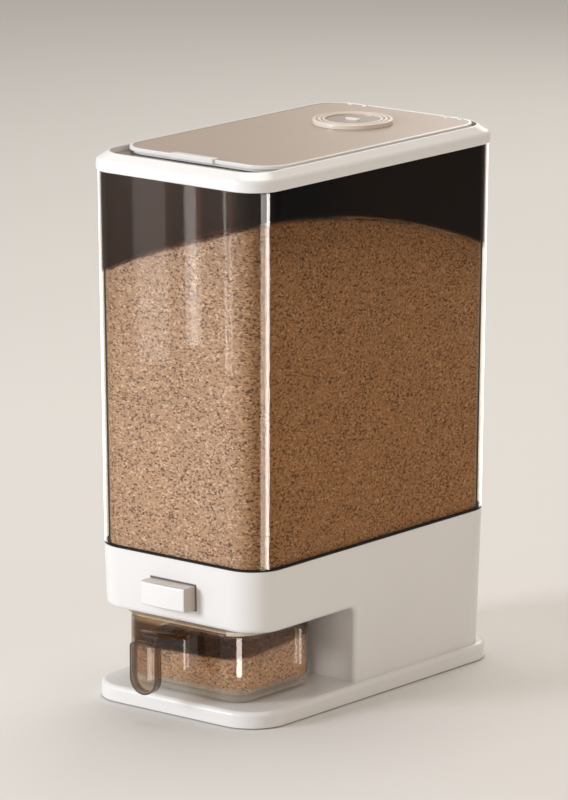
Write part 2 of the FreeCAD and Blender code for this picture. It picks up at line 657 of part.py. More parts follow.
def make_carrier_screws():
    """Screws through the carrier's ears into the ceiling's bosses."""
    z_seat = Z_CEILING_TOP + CARRIER_BOSS_HEIGHT + EAR_THICKNESS
    length = EAR_THICKNESS + CARRIER_BOSS_HEIGHT - SCREW_TIP_ROOM
    places = corners(CARRIER_SCREW_X, CARRIER_SCREW_FRONT_Y, CARRIER_SCREW_BACK_Y)
    return [screw_down(x, y, z_seat, length) for x, y in places]


def make_spring_pins():
    """Steel pins in the posts that guide the button's flange."""
    tip = flange_front() - FLANGE_STOP + PIN_TIP
    return [spring_bore(side, PIN_RADIUS, tip, POST_FRONT_Y + POST_THICKNESS) for side in (-1, 1)]


def make_return_spring(side):
    """Compression spring between the button's flange and its post."""
    start = flange_back() + SPRING_WIRE
    length = POST_FRONT_Y - SPRING_WIRE - start
    helix = Part.makeHelix(length / SPRING_TURNS, length, SPRING_RADIUS)
    section = Part.Wire(Part.makeCircle(SPRING_WIRE, Vector(SPRING_RADIUS, 0, 0), Vector(0, 1, 0)))
    coil = Part.Wire(helix).makePipeShell([section], True, True)
    coil.rotate(Vector(0, 0, 0), Vector(1, 0, 0), -90)
    coil.translate(Vector(side * SPRING_X, start, Z_BUTTON))
    return coil


def make_gate():
    """Slide plate: upright leg screwed to the button, plate with the window under the hopper."""
    leg_front = flange_back()
    leg_top = Z_BUTTON + LEG_TOP
    leg = box(-LEG_HALF_X, LEG_HALF_X, leg_front, leg_front + LEG_THICKNESS, Z_GATE, leg_top)
    tail = OUTLET_Y + OUTLET_LENGTH / 2 + GATE_TAIL
    plate = box(-GATE_HALF_X, GATE_HALF_X, leg_front, tail, Z_GATE, Z_GATE_TOP)
    window_y = OUTLET_Y - BUTTON_TRAVEL
    body = fused(leg, plate).cut(slab(outlet_outline(), Z_GATE - CUT, Z_GATE_TOP + CUT, window_y))
    for side in (-1, 1):
        x = side * BUTTON_SCREW_X
        start = Vector(x, leg_front - CUT, Z_BUTTON)
        end = Vector(x, leg_front + LEG_THICKNESS + CUT, Z_BUTTON)
        body = body.cut(rod(SCREW_RADIUS + SCREW_GAP, start, end))
    return body


def button_face():
    """Y of the flat edge of the button's face."""
    return housing_front(Z_BUTTON) - BUTTON_REACH + BUTTON_CROWN


def make_push_button():
    """Hollow button with a gently convex face, a stop flange behind and two screw bosses."""
    half_x = BUTTON_WIDTH / 2
    half_z = BUTTON_HEIGHT / 2
    z_low = Z_BUTTON - half_z
    z_high = Z_BUTTON + half_z
    face = button_face()
    back = flange_back()
    profile = [Vector(-half_x, back, z_low), Vector(-half_x, face, z_low), Vector(half_x, face, z_low),
               Vector(half_x, back, z_low)]
    crown = Part.Arc(profile[1], Vector(0, face - BUTTON_CROWN, z_low), profile[2]).toShape()
    edges = [Part.makeLine(profile[0], profile[1]), crown, Part.makeLine(profile[2], profile[3])]
    edges.append(Part.makeLine(profile[3], profile[0]))
    body = Part.Face(Part.Wire(edges)).extrude(Vector(0, 0, BUTTON_HEIGHT))
    front_edges = [e for e in body.Edges if e.BoundBox.YMax < face + 0.01]
    body = body.makeFillet(BUTTON_EDGE_ROUND, front_edges)
    flange = box(-FLANGE_HALF_X, FLANGE_HALF_X, flange_front(), back, z_low, z_high)
    body = fused(body, flange)
    inner_x = half_x - BUTTON_WALL
    inner_z = half_z - BUTTON_WALL
    inner_front = face + BUTTON_WALL
    body = body.cut(box(-inner_x, inner_x, inner_front, back + CUT, Z_BUTTON - inner_z, Z_BUTTON + inner_z))
    for side in (-1, 1):
        x = side * BUTTON_SCREW_X
        front_point = Vector(x, inner_front - BUTTON_WALL / 2, Z_BUTTON)
        back_point = Vector(x, back, Z_BUTTON)
        tip = Vector(x, back - button_screw_length() - SCREW_TIP_ROOM, Z_BUTTON)
        body = body.fuse(rod(SCREW_RADIUS + SCREW_BOSS_WALL, front_point, back_point))
        body = body.cut(rod(SCREW_RADIUS + SCREW_GAP, tip, back_point + Vector(0, CUT, 0)))
        body = body.cut(spring_bore(side, PIN_RADIUS + PIN_GAP, flange_front() - CUT, back + CUT))
    return body.removeSplitter()


def button_screw_length():
    """Length of the button's screws inside its bosses."""
    return 4 * SCREW_BOSS_WALL


def make_button_screws():
    """Screws from behind through the gate's leg into the button."""
    screws = []
    seat = flange_back() + LEG_THICKNESS
    for side in (-1, 1):
        x = side * BUTTON_SCREW_X
        seat_point = Vector(x, seat, Z_BUTTON)
        head = rod(SCREW_HEAD_RADIUS, seat_point, seat_point + Vector(0, SCREW_HEAD_HEIGHT, 0))
        tip = Vector(x, flange_back() - button_screw_length(), Z_BUTTON)
        screws.append(fused(head, rod(SCREW_RADIUS, tip, seat_point)))
    return screws


# --- measuring cup -------------------------------------------------------------------------------------------
def cup_place():
    """Outline of the cup and the Y of its middle."""
    middle, half = span(CUP_FRONT_Y, CUP_BACK_Y)
    return (CUP_HALF_X, half, CUP_CORNER), middle


def cup_grip():
    """Hanging finger plate of the handle: rounded below, hollow behind."""
    x_in = GRIP_HALF_X - GRIP_TOP_CORNER
    z_round = GRIP_BOTTOM_Z + GRIP_HALF_X
    z_corner = GRIP_TOP_Z - GRIP_TOP_CORNER
    slant = GRIP_TOP_CORNER * math.sqrt(0.5)
    y = GRIP_FRONT_Y
    left_low = Vector(-GRIP_HALF_X, y, z_round)
    left_high = Vector(-GRIP_HALF_X, y, z_corner)
    right_low = Vector(GRIP_HALF_X, y, z_round)
    right_high = Vector(GRIP_HALF_X, y, z_corner)
    top_left = Vector(-x_in, y, GRIP_TOP_Z)
    top_right = Vector(x_in, y, GRIP_TOP_Z)
    left_middle = Vector(-x_in - slant, y, z_corner + slant)
    right_middle = Vector(x_in + slant, y, z_corner + slant)
    edges = [
        Part.makeLine(left_low, left_high),
        Part.Arc(left_high, left_middle, top_left).toShape(),
        Part.makeLine(top_left, top_right),
        Part.Arc(top_right, right_middle, right_high).toShape(),
        Part.makeLine(right_high, right_low),
        Part.Arc(right_low, Vector(0, y, GRIP_BOTTOM_Z), left_low).toShape(),
    ]
    wire = Part.Wire(edges)
    plate = Part.Face(wire).extrude(Vector(0, GRIP_THICKNESS, 0))
    pocket = Part.Face(wire.makeOffset2D(-GRIP_SHELL)).extrude(Vector(0, GRIP_THICKNESS, 0))
    pocket.translate(Vector(0, GRIP_SHELL, 0))
    return plate.cut(pocket)


def cup_arm():
    """Arm of the handle: out of the cup's front wall, over a bend, down into the grip."""
    bend_y = GRIP_FRONT_Y + ARM_BEND
    root_y = CUP_FRONT_Y + CUP_WALL / 2
    inner = ARM_BEND - ARM_THICKNESS
    z_bend = ARM_TOP_Z - ARM_BEND
    z_end = GRIP_TOP_Z - GRIP_SHELL - GRIP_TOP_CORNER
    slant = math.sqrt(0.5)
    outer_points = [
        Vector(0, GRIP_FRONT_Y, z_bend),
        Vector(0, bend_y - ARM_BEND * slant, z_bend + ARM_BEND * slant),
        Vector(0, bend_y, ARM_TOP_Z),
    ]
    inner_points = [
        Vector(0, GRIP_FRONT_Y + ARM_THICKNESS, z_bend),
        Vector(0, bend_y - inner * slant, z_bend + inner * slant),
        Vector(0, bend_y, ARM_TOP_Z - ARM_THICKNESS),
    ]
    foot_out = Vector(0, GRIP_FRONT_Y, z_end)
    foot_in = Vector(0, GRIP_FRONT_Y + ARM_THICKNESS, z_end)
    root_high = Vector(0, root_y, ARM_ROOT_Z + ARM_THICKNESS)
    root_low = Vector(0, root_y, ARM_ROOT_Z)
    edges = [
        Part.makeLine(foot_out, outer_points[0]),
        Part.Arc(*outer_points).toShape(),
        Part.makeLine(outer_points[2], root_high),
        Part.makeLine(root_high, root_low),
        Part.makeLine(root_low, inner_points[2]),
        Part.Arc(inner_points[2], inner_points[1], inner_points[0]).toShape(),
        Part.makeLine(inner_points[0], foot_in),
        Part.makeLine(foot_in, foot_out),
    ]
    arm = Part.Face(Part.Wire(edges)).extrude(Vector(2 * ARM_HALF_X, 0, 0))
    arm.translate(Vector(-ARM_HALF_X, 0, 0))
    return arm


def make_cup():
    """Clear measuring cup with rim, rounded bottom and hooked handle, one moulding."""
    outline, middle = cup_place()
    z_top = Z_CEILING - CUP_CLEARANCE
    outside = slab(outline, Z_BASE_TOP, z_top, middle)
    outside = outside.makeFillet(CUP_BOTTOM_ROUND, edges_at(outside, Z_BASE_TOP))
    rim = slab(inset(outline, -RIM_WIDTH), z_top - RIM_HEIGHT, z_top, middle)
    inside = slab(inset(outline, CUP_WALL), Z_BASE_TOP + CUP_FLOOR, z_top + CUT, middle)
    inside = inside.makeFillet(CUP_BOTTOM_ROUND - CUP_WALL, edges_at(inside, Z_BASE_TOP + CUP_FLOOR))
    return fused(outside, rim, cup_grip(), cup_arm()).cut(inside).removeSplitter()


def edges_at(body, z):
    """Level edges of a solid at height z."""
    return [e for e in body.Edges if abs(e.BoundBox.ZMin - z) < 0.01 and abs(e.BoundBox.ZMax - z) < 0.01]


# --- lid -----------------------------------------------------------------------------------------------------
def opening_place(grow=0.0):
    """Outline of the fill opening, grown by a width, and the Y of its middle."""
    middle, half = span(OPENING_FRONT_Y, OPENING_BACK_Y)
    return (OPENING_HALF_X + grow, half + grow, OPENING_CORNER + grow), middle


def make_lid_ring():
    """Lid frame: upright face, sloping face, recess for the panel, fill opening with collar, hinge ears."""
    z_face = Z_SEAT + RING_FACE
    upright = slab(ring_outline(), Z_SEAT, z_face)
    slope = taper(ring_outline(), z_face, ring_top_outline(), Z_RING_TOP)
    opening, opening_y = opening_place()
    collar_outline, _ = opening_place(COLLAR_WIDTH)
    z_skirt = Z_SEAT + TONGUE_HEIGHT + RING_GASKET
    body = upright.fuse(slope).removeSplitter()
    body = body.makeFillet(RING_CREASE_ROUND, edges_at(body, z_face))
    body = body.makeFillet(RING_EDGE_ROUND, edges_at(body, Z_SEAT) + edges_at(body, Z_RING_TOP))
    body = body.cut(slab(inset(tongue_outline(), -RING_SKIRT_GAP), Z_SEAT - CUT, z_skirt))
    body = body.cut(slab(recess_outline(), Z_LID_FLOOR, Z_RING_TOP + CUT))
    body = body.fuse(slab(collar_outline, Z_LID_FLOOR, Z_LID_FLOOR + COLLAR_HEIGHT, opening_y))
    body = body.cut(slab(opening, Z_SEAT - CUT, Z_RING_TOP + CUT, opening_y))
    for ear in hinge_ears():
        body = body.fuse(ear)
    return body.cut(hinge_bores(HINGE_PIN_RADIUS + SCREW_GAP)).removeSplitter()


def hinge_ears():
    """Ears of the lid ring, one on each side of each barrel of the panel."""
    axis_y, axis_z = hinge_axis()
    ears = []
    for side in (-1, 1):
        for step in (-1, 1):
            middle = side * HINGE_X + step * (BARREL_LENGTH / 2 + MOVING_GAP + EAR_WIDTH / 2)
            low = middle - EAR_WIDTH / 2
            high = middle + EAR_WIDTH / 2
            post = box(low, high, axis_y - HINGE_BARREL_RADIUS, axis_y + HINGE_BARREL_RADIUS, Z_LID_FLOOR, axis_z)
            ears.append(post.fuse(rod(HINGE_BARREL_RADIUS, Vector(low, axis_y, axis_z), Vector(high, axis_y, axis_z))))
    return ears


def pin_reach():
    """Half length of a hinge pin: its barrel and the ears on both sides."""
    return BARREL_LENGTH / 2 + MOVING_GAP + EAR_WIDTH


def hinge_bores(radius):
    """Cylinders on the hinge axis, one for each pin."""
    axis_y, axis_z = hinge_axis()
    rods = []
    for side in (-1, 1):
        start = Vector(side * HINGE_X - pin_reach(), axis_y, axis_z)
        end = Vector(side * HINGE_X + pin_reach(), axis_y, axis_z)
        rods.append(rod(radius, start, end))
    return Part.makeCompound(rods)


def make_ring_gasket():
    """Seal on the tank's upper edge, under the lid ring."""
    z_low = Z_SEAT + TONGUE_HEIGHT
    outside = slab(tongue_outline(), z_low, z_low + RING_GASKET)
    return outside.cut(slab(inset(tongue_outline(), TANK_WALL - TANK_STEP), z_low - CUT, z_low + 2 * CUT))


def make_hinge_pins():
    """Steel pins through the ears and the panel's barrels."""
    return list(hinge_bores(HINGE_PIN_RADIUS).Solids)


def ear_notches():
    """Room in the panel's back edge for the lid ring's ears."""
    axis_y, _ = hinge_axis()
    cuts = []
    low_y = axis_y - HINGE_BARREL_RADIUS - PANEL_RISE
    for side in (-1, 1):
        for step in (-1, 1):
            middle = side * HINGE_X + step * (BARREL_LENGTH / 2 + MOVING_GAP + EAR_WIDTH / 2)
            reach = EAR_WIDTH / 2 + MOVING_GAP
            cuts.append(box(middle - reach, middle + reach, low_y, panel_back() + CUT, Z_LID_FLOOR, Z_DIAL_TOP))
    return Part.makeCompound(cuts)


def make_lid_panel():
    """Flip panel: thin skin with a raised edge, a skirt, a finger tab, hinge barrels and the dial's seat."""
    outline, middle = panel_place()
    axis_y, axis_z = hinge_axis()
    skin = slab(outline, Z_PANEL_UNDER, Z_PANEL, middle)
    skin = skin.makeFillet(PANEL_LIP_HEIGHT, edges_at(skin, Z_PANEL))
    skin = skin.cut(slab(inset(outline, PANEL_LIP_WIDTH), Z_PANEL_FACE, Z_PANEL + CUT, middle))
    skirt_outline = inset(outline, PANEL_SKIRT_SETBACK)
    skirt = slab(skirt_outline, Z_LID_FLOOR + PANEL_SKIRT_GAP, Z_PANEL_UNDER, middle)
    skirt = skirt.cut(slab(inset(skirt_outline, PANEL_SKIRT_WALL), Z_LID_FLOOR, Z_PANEL, middle))
    skirt = skirt.cut(box(-HALF_WIDTH, HALF_WIDTH, PANEL_SKIRT_END_Y, BASE_HALF_Y, Z_LID_FLOOR, Z_PANEL))
    front = middle - outline[1]
    tab_outline = (TAB_HALF_X, TAB_LENGTH / 2, TAB_LENGTH / 4)
    tab_y = front - TAB_OVERHANG + TAB_LENGTH / 2
    tab = slab(tab_outline, Z_PANEL_UNDER, Z_PANEL + TAB_RISE, tab_y)
    tab = tab.makeFillet(TAB_RISE / 2, edges_at(tab, Z_PANEL + TAB_RISE))
    parts = [skirt, tab]
    for side in (-1, 1):
        start = Vector(side * HINGE_X - BARREL_LENGTH / 2, axis_y, axis_z)
        parts.append(rod(HINGE_BARREL_RADIUS, start, start + Vector(BARREL_LENGTH, 0, 0)))
    body = fused(skin.cut(ear_notches()), *parts)
    body = body.cut(hinge_bores(HINGE_PIN_RADIUS + PIN_GAP))
    body = body.cut(disc(BASKET_RADIUS + PART_GAP, Z_PANEL_UNDER - CUT, Z_PANEL + CUT, 0.0, DIAL_Y))
    seat = disc(BASKET_FLANGE_RADIUS + PART_GAP, Z_PANEL_FACE - BASKET_FLANGE, Z_PANEL + CUT, 0.0, DIAL_Y)
    return body.cut(seat).removeSplitter()


def make_panel_gasket():
    """Seal glued under the panel; it closes on the collar of the fill opening."""
    outer, opening_y = opening_place(COLLAR_WIDTH)
    inner, _ = opening_place()
    z_low = Z_LID_FLOOR + COLLAR_HEIGHT
    body = slab(outer, z_low, Z_PANEL_UNDER, opening_y)
    return body.cut(slab(inner, z_low - CUT, Z_PANEL_UNDER + CUT, opening_y))


# --- date dial and desiccant holder --------------------------------------------------------------------------
def make_desiccant_basket():
    """Slotted holder let into the panel, under the dial."""
    z_flange = Z_PANEL_FACE - BASKET_FLANGE
    z_low = Z_PANEL_FACE - BASKET_DEPTH
    body = disc(BASKET_RADIUS, z_low, Z_PANEL_FACE, 0.0, DIAL_Y)
    body = body.fuse(disc(BASKET_FLANGE_RADIUS, z_flange, Z_PANEL_FACE, 0.0, DIAL_Y))
    body = body.cut(disc(BASKET_RADIUS - BASKET_WALL, z_low + BASKET_WALL, Z_PANEL, 0.0, DIAL_Y))
    slot_low = z_low + 2 * BASKET_WALL
    for index in range(BASKET_SLOTS):
        slot = box(BASKET_RADIUS - 2 * BASKET_WALL, BASKET_RADIUS + CUT, -BASKET_SLOT_WIDTH / 2, BASKET_SLOT_WIDTH / 2,
                   slot_low, slot_low + BASKET_SLOT_HEIGHT)
        slot.rotate(Vector(0, 0, 0), Vector(0, 0, 1), 360.0 * index / BASKET_SLOTS)
        slot.translate(Vector(0, DIAL_Y, 0))
        body = body.cut(slot)
    return body.removeSplitter()


def make_desiccant_pack():
    """Round pack of drying agent on the holder's floor."""
    z_low = Z_PANEL_FACE - BASKET_DEPTH + BASKET_WALL
    radius = BASKET_RADIUS - BASKET_WALL - MOVING_GAP
    return disc(radius, z_low, z_low + PACK_HEIGHT, 0.0, DIAL_Y)


def dial_step():
    """Height of the step inside the dial that the cap's lip covers."""
    return Z_DIAL_TOP - CAP_DROP - CAP_LIP_THICKNESS - MOVING_GAP


def make_date_dial():
    """Turning ring with concentric grooves on its face and an inner step for the cap's lip."""
    z_low = Z_PANEL_FACE + DIAL_SEAT_GAP
    body = disc(DIAL_RADIUS, z_low, Z_DIAL_TOP, 0.0, DIAL_Y)
    body = body.makeFillet(DIAL_RISE / 4, [e for e in body.Edges if e.BoundBox.ZMin > Z_DIAL_TOP - 0.01])
    body = body.cut(disc(CAP_RADIUS + MOVING_GAP, z_low - CUT, Z_DIAL_TOP + CUT, 0.0, DIAL_Y))
    body = body.cut(disc(CAP_RADIUS + CAP_LIP + MOVING_GAP, dial_step(), Z_DIAL_TOP + CUT, 0.0, DIAL_Y))
    for inner in (CAP_RADIUS + 3 * CAP_LIP, CAP_RADIUS + 6 * CAP_LIP):
        body = body.cut(tube(inner + CAP_LIP, inner, Z_DIAL_TOP - CAP_LIP / 2, Z_DIAL_TOP + CUT, 0.0, DIAL_Y))
    return body.removeSplitter()


def make_dial_cap():
    """Inner disc with a small oval finger bar; its skirt closes the desiccant holder."""
    z_low = Z_PANEL_FACE + DIAL_SEAT_GAP
    z_top = Z_DIAL_TOP - CAP_DROP
    body = disc(CAP_RADIUS, z_low, z_top, 0.0, DIAL_Y)
    lip = disc(CAP_RADIUS + CAP_LIP, z_top - CAP_LIP_THICKNESS, z_top, 0.0, DIAL_Y)
    skirt_radius = BASKET_RADIUS - BASKET_WALL - MOVING_GAP
    skirt = disc(skirt_radius, z_low - 2 * BASKET_WALL, z_low, 0.0, DIAL_Y)
    skirt = skirt.cut(disc(skirt_radius - BASKET_WALL, z_low - 3 * BASKET_WALL, z_low, 0.0, DIAL_Y))
    bar = slab((BAR_HALF_X, BAR_HALF_Y, BAR_HALF_Y - 0.01), z_top, z_top + BAR_RISE, DIAL_Y)
    return fused(body, lip, skirt, bar)


# --- writing the files ---------------------------------------------------------------------------------------
def write(name, shapes):
    """Moves the solids of one sub-part into the file's frame and writes its STEP."""
    solids = shapes if isinstance(shapes, list) else [shapes]
    solids = [solid for shape in solids for solid in shape.Solids]
    result = solids[0] if len(solids) == 1 else Part.makeCompound(solids)
    result = result.copy()
    result.translate(Vector(0, ORIGIN_SHIFT, 0))
    result.exportStep("parts/" + name + ".step")


SUB_PARTS = {
    "base_plate": make_base_plate,
    "base_cover": make_base_cover,
    "cover_screws": make_cover_screws,
    "base_feet": make_base_feet,
    "housing": make_housing,
    "housing_screws": make_housing_screws,
    "hopper": make_hopper,
    "gate_carrier": make_gate_carrier,
    "carrier_screws": make_carrier_screws,
    "spring_pins": make_spring_pins,
    "tank": make_tank,
    "tank_gasket": make_tank_gasket,
    "push_button": make_push_button,
    "gate": make_gate,
    "button_screws": make_button_screws,
    "cup": make_cup,
    "lid_ring": make_lid_ring,
    "ring_gasket": make_ring_gasket,
    "hinge_pins": make_hinge_pins,
    "lid_panel": make_lid_panel,
    "panel_gasket": make_panel_gasket,
    "desiccant_basket": make_desiccant_basket,
    "desiccant_pack": make_desiccant_pack,
    "date_dial": make_date_dial,
    "dial_cap": make_dial_cap,
}


def main():
    os.makedirs("parts", exist_ok=True)
    for name, make in SUB_PARTS.items():
        write(name, make())
    write("return_spring_left", make_return_spring(-1))
    write("return_spring_right", make_return_spring(1))


main()
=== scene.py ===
"""Finishes, contents and stage for a countertop rice dispenser with a pull-out cup."""

import math
import random

import bmesh
import bpy
from mathutils import Euler, Matrix, Vector, noise


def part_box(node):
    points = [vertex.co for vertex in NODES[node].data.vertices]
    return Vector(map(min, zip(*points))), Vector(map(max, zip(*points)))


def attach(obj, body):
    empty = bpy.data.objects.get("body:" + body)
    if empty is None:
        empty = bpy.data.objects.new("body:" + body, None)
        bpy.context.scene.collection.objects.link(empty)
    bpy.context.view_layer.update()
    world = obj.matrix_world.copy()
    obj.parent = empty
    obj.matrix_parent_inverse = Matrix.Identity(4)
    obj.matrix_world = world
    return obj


bl_info = {
    "name": "Rice Dispenser",
    "version": (1, 0, 0),
    "blender": (4, 5, 0),
    "location": "3D View > Sidebar > Dispenser",
    "description": "Finishes, rice and stage of a countertop rice dispenser",
    "category": "Object",
}

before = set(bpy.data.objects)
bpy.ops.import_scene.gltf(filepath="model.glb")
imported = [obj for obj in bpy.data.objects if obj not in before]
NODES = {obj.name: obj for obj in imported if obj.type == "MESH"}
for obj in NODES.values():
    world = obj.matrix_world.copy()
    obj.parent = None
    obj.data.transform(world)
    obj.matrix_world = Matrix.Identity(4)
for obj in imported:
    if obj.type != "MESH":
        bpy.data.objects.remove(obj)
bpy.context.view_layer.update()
MM = 0.001


# --- Measures -------------------------------------------------------------------------

# The tank's inside, from the housing's rim up to the lid ring's seat.
TANK_LOW, TANK_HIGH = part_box("tank")
MIDDLE_Y = (TANK_LOW.y + TANK_HIGH.y) / 2
TANK_FOOT_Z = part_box("housing")[1].z
TANK_SEAT_Z = TANK_HIGH.z - 5.5 * MM
TANK_WALL = 3.0 * MM
TANK_CORNER = 26.0 * MM
TANK_FALL = 2.4 * MM
TANK_LEAN = TANK_FALL / (TANK_SEAT_Z - TANK_FOOT_Z)
# Painted shadow line at the tank's foot, and the band over the rice in which the smoky, painted
# dark colour begins.
FOOT_SHADOW = 1.4 * MM
TANK_SHADE_BAND = (0.6 * MM, 3.6 * MM)

# The cup's bowl, its rim and the grip on its front.
CUP_LOW, CUP_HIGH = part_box("cup")
CUP_HALF_X = 59.0 * MM
CUP_FRONT = -135.0 * MM + MIDDLE_Y
CUP_BACK = -41.0 * MM + MIDDLE_Y
CUP_CORNER = 22.0 * MM
CUP_WALL = 2.0 * MM
CUP_FLOOR_Z = CUP_LOW.z + 5.0 * MM
CUP_FOOT = 8.0 * MM
CUP_BOTTOM_ROUND = 10.0 * MM
CUP_BOTTOM_STEPS = 4
CUP_RIM = 3.0 * MM
CUP_BAND_Z = 61.0 * MM
CUP_BAND = 3.0 * MM
CUP_SHADE_BAND = (-0.6 * MM, 1.4 * MM)
GRIP_HALF_X = 12.5 * MM
GRIP_EDGE = 1.2 * MM
GRIP_ROUND_Z = 34.5 * MM
GRIP_DEPTH = 8.0 * MM

# The button and the painted shadow in a thin band round it.
BUTTON_LOW, BUTTON_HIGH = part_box("push_button")
BUTTON_Z = (BUTTON_LOW.z + BUTTON_HIGH.z) / 2
BUTTON_HALF_X, BUTTON_HALF_Z = 21.0 * MM, BUTTON_HIGH.z - BUTTON_Z
BUTTON_SHADOW_WIDTH = 0.8 * MM
HOUSING_FACE = 12.0 * MM

# Levels under which the flat faces of the lid's pieces are another colour; on the lid ring that
# colour is also darkened as painted shade.
RING_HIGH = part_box("lid_ring")[1]
PANEL_FACE_Z = RING_HIGH.z - 0.5 * MM
PANEL_EDGE = 0.2 * MM
RING_SUNK_Z = RING_HIGH.z - 3.0 * MM
DIAL_SUNK_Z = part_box("date_dial")[1].z - 0.4 * MM
CAP_SUNK_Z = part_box("dial_cap")[1].z - 0.6 * MM

# Heap in the tank: highest along the right wall, where it falls towards the back, and
# from there falling to the left wall, by less and less towards the back.
HEAP_FRONT = 141.0 * MM
HEAP_SIDE = 80.0 * MM
HEAP_SLOPE, HEAP_FALL = 0.0195, 0.685
HEAP_TILT, HEAP_TILT_REACH = 0.36, 0.40
HEAP_BULGE = 17.5
HEAP_CROWN = 5.0 * MM
HEAP_WAVE, HEAP_WAVE_SCALE = 1.6 * MM, 34.0
HEAP_RIPPLE, HEAP_RIPPLE_SCALE = HEAP_WAVE / 2, 160.0
# The heap's plan is the tank's this far under the heap's top, and the rice ends this far
# over the tank's lower end.
HEAP_BELOW, HEAP_END = 30.0 * MM, 1.0 * MM
# Shares of the rise of the rice in the cup that go with its depth and with its width.
CUP_RISE_BACK, CUP_RISE_SIDE = 0.62, 0.38
CUP_WAVE, CUP_WAVE_SCALE = 1.2 * MM, 60.0

# Step of a heap's grid, and the loose grains on it: how many, how near the wall, and how
# they differ in size, tilt and height as a share of a grain's width.
GRID_STEP = 1.9 * MM
TANK_GRAINS, CUP_GRAINS = 2600, 1500
GRAIN_BATCH = 80
GRAIN_INSET = 3.0 * MM
GRAIN_SIZES = (0.85, 1.1)
GRAIN_TILT = 0.35
GRAIN_LIFT = 0.28


# --- Settings -------------------------------------------------------------------------


def colour(name, description, default):
    """A colour property."""
    return bpy.props.FloatVectorProperty(
        name=name, description=description, default=default, size=3, min=0, max=1, subtype="COLOR"
    )


def length(name, description, default):
    """A length property, in metres."""
    return bpy.props.FloatProperty(
        name=name, description=description, default=default, unit="LENGTH"
    )


class DispenserColours(bpy.types.PropertyGroup):
    """Colours of the finishes."""

    housing: colour("Housing", "Glossy white of the housing and base", (0.775, 0.77, 0.765))
    lid: colour("Lid", "Glossy white of the lid ring", (0.79, 0.79, 0.785))
    inner: colour("Inner parts", "White of the hopper and gate", (0.74, 0.73, 0.71))
    button: colour("Button", "White of the push button", (0.79, 0.79, 0.785))
    # Painted shade on the button's top and sides.
    button_side_shade: colour(
        "Button side", "Warm grey of the button's top and sides", (0.50, 0.44, 0.405)
    )
    # Painted shadow on the housing in a thin band round the button.
    gap: colour("Gap", "Shade in the gap round the button", (0.10, 0.075, 0.065))
    panel: colour(
        "Flip panel", "Satin grey-beige of the flip panel and the dial's cap", (0.38, 0.305, 0.245)
    )
    dial: colour("Dial", "Warm white of the date dial", (0.72, 0.655, 0.585))
    # Above the rice the tank is smoky and darkened further as painted shade.
    smoke_and_shade: colour(
        "Smoke", "Colour that one face of the tank lets through above the rice", (0.52, 0.40, 0.295)
    )
    # Painted shade: the tank's side walls are darker above the rice.
    smoke_and_shade_side: colour("Smoke side", "The same for the tank's deep side walls", (0.15, 0.11, 0.09))
    haze: colour("Haze", "Warm haze in the smoky front of the tank", (0.75, 0.40, 0.24))
    clear: colour(
        "Clear",
        "Colour that one face of the tank lets through beside the rice",
        (0.95, 0.935, 0.92),
    )
    # Painted shade: the tank's side walls pass a warmer, darker colour beside the rice.
    clear_side_shade: colour(
        "Clear side", "The same for the tank's deep side walls", (0.885, 0.815, 0.715)
    )
    # Painted shade inside the tank's corners where they turn away from the view.
    seam: colour(
        "Seam", "Colour inside the tank's corners where they turn away", (0.03, 0.024, 0.02)
    )
    cup: colour("Cup", "Colour that one face of the cup lets through", (0.955, 0.94, 0.92))
    # Painted shade: the cup is darker above the rice, and warmer on its side walls.
    cup_shade_above: colour(
        "Cup above the rice", "Colour that the cup lets through above the rice", (0.43, 0.33, 0.25)
    )
    cup_shade_above_side: colour(
        "Cup side above the rice", "The same for the cup's side walls", (0.66, 0.53, 0.36)
    )
    # Painted shade: the grip passes a darker, warmer colour than the bowl.
    cup_grip_shade: colour(
        "Cup grip", "Colour that one face of the cup's grip lets through", (0.84, 0.75, 0.67)
    )
    # Painted highlight on the cup's rim and foot.
    cup_highlight: colour("Cup rim", "Cream shine of the cup's rim", (0.80, 0.72, 0.60))
    # Painted shade where the cup's wall is seen along its length.
    cup_edge_shade: colour(
        "Cup edge", "Colour of the cup's wall seen along its length", (0.10, 0.075, 0.06)
    )
    rice: colour("Rice", "Main colour of a grain", (0.555, 0.352, 0.213))
    rice_pale: colour("Pale rice", "Colour of the palest grains", (0.81, 0.61, 0.43))
    rice_dark: colour("Dark rice", "Colour of the darkest grains", (0.11, 0.045, 0.018))
    floor: colour("Floor", "Plain floor", (0.72, 0.71, 0.69))


class DispenserSizes(bpy.types.PropertyGroup):
    """Sizes of what the dispenser holds."""

    rice_gap: length("Rice gap", "Room between the rice and a clear wall", 0.4 * MM)
    heap_top: length("Heap top", "Highest line of the rice on the tank's wall", 375.6 * MM)
    cup_front_fill: length("Cup fill, front", "Height of the rice at the cup's front", 43.0 * MM)
    cup_back_fill: length("Cup fill, back", "Height of the rice at the cup's back", 55.0 * MM)
    grain_length: length("Grain length", "Length of a rice grain", 5.6 * MM)
    grain_width: length("Grain width", "Width of a rice grain", 1.9 * MM)


def colours():
    """The colour settings."""
    return bpy.context.scene.dispenser_colours


def sizes():
    """The size settings."""
    return bpy.context.scene.dispenser_sizes


# --- Materials ------------------------------------------------------------------------

WHITE, BLACK = (1, 1, 1, 1), (0, 0, 0, 1)

# Colours of small and hidden pieces.
SEAL_BLACK = (0.007, 0.006, 0.005)
SACHET_WHITE = (0.78, 0.77, 0.74)
RUBBER_GREY = (0.09, 0.088, 0.085)
SILICONE, SILICONE_PALE = (0.66, 0.65, 0.63, 1.0), (0.74, 0.73, 0.71, 1.0)
ZINC, STEEL, SPRING_STEEL = (0.58, 0.57, 0.55), (0.62, 0.62, 0.61), (0.50, 0.50, 0.49)
# The dispensed rice is painted darker and warmer, as painted shade of the bay.
CUP_RICE_SHADE = (0.84, 0.74, 0.60)

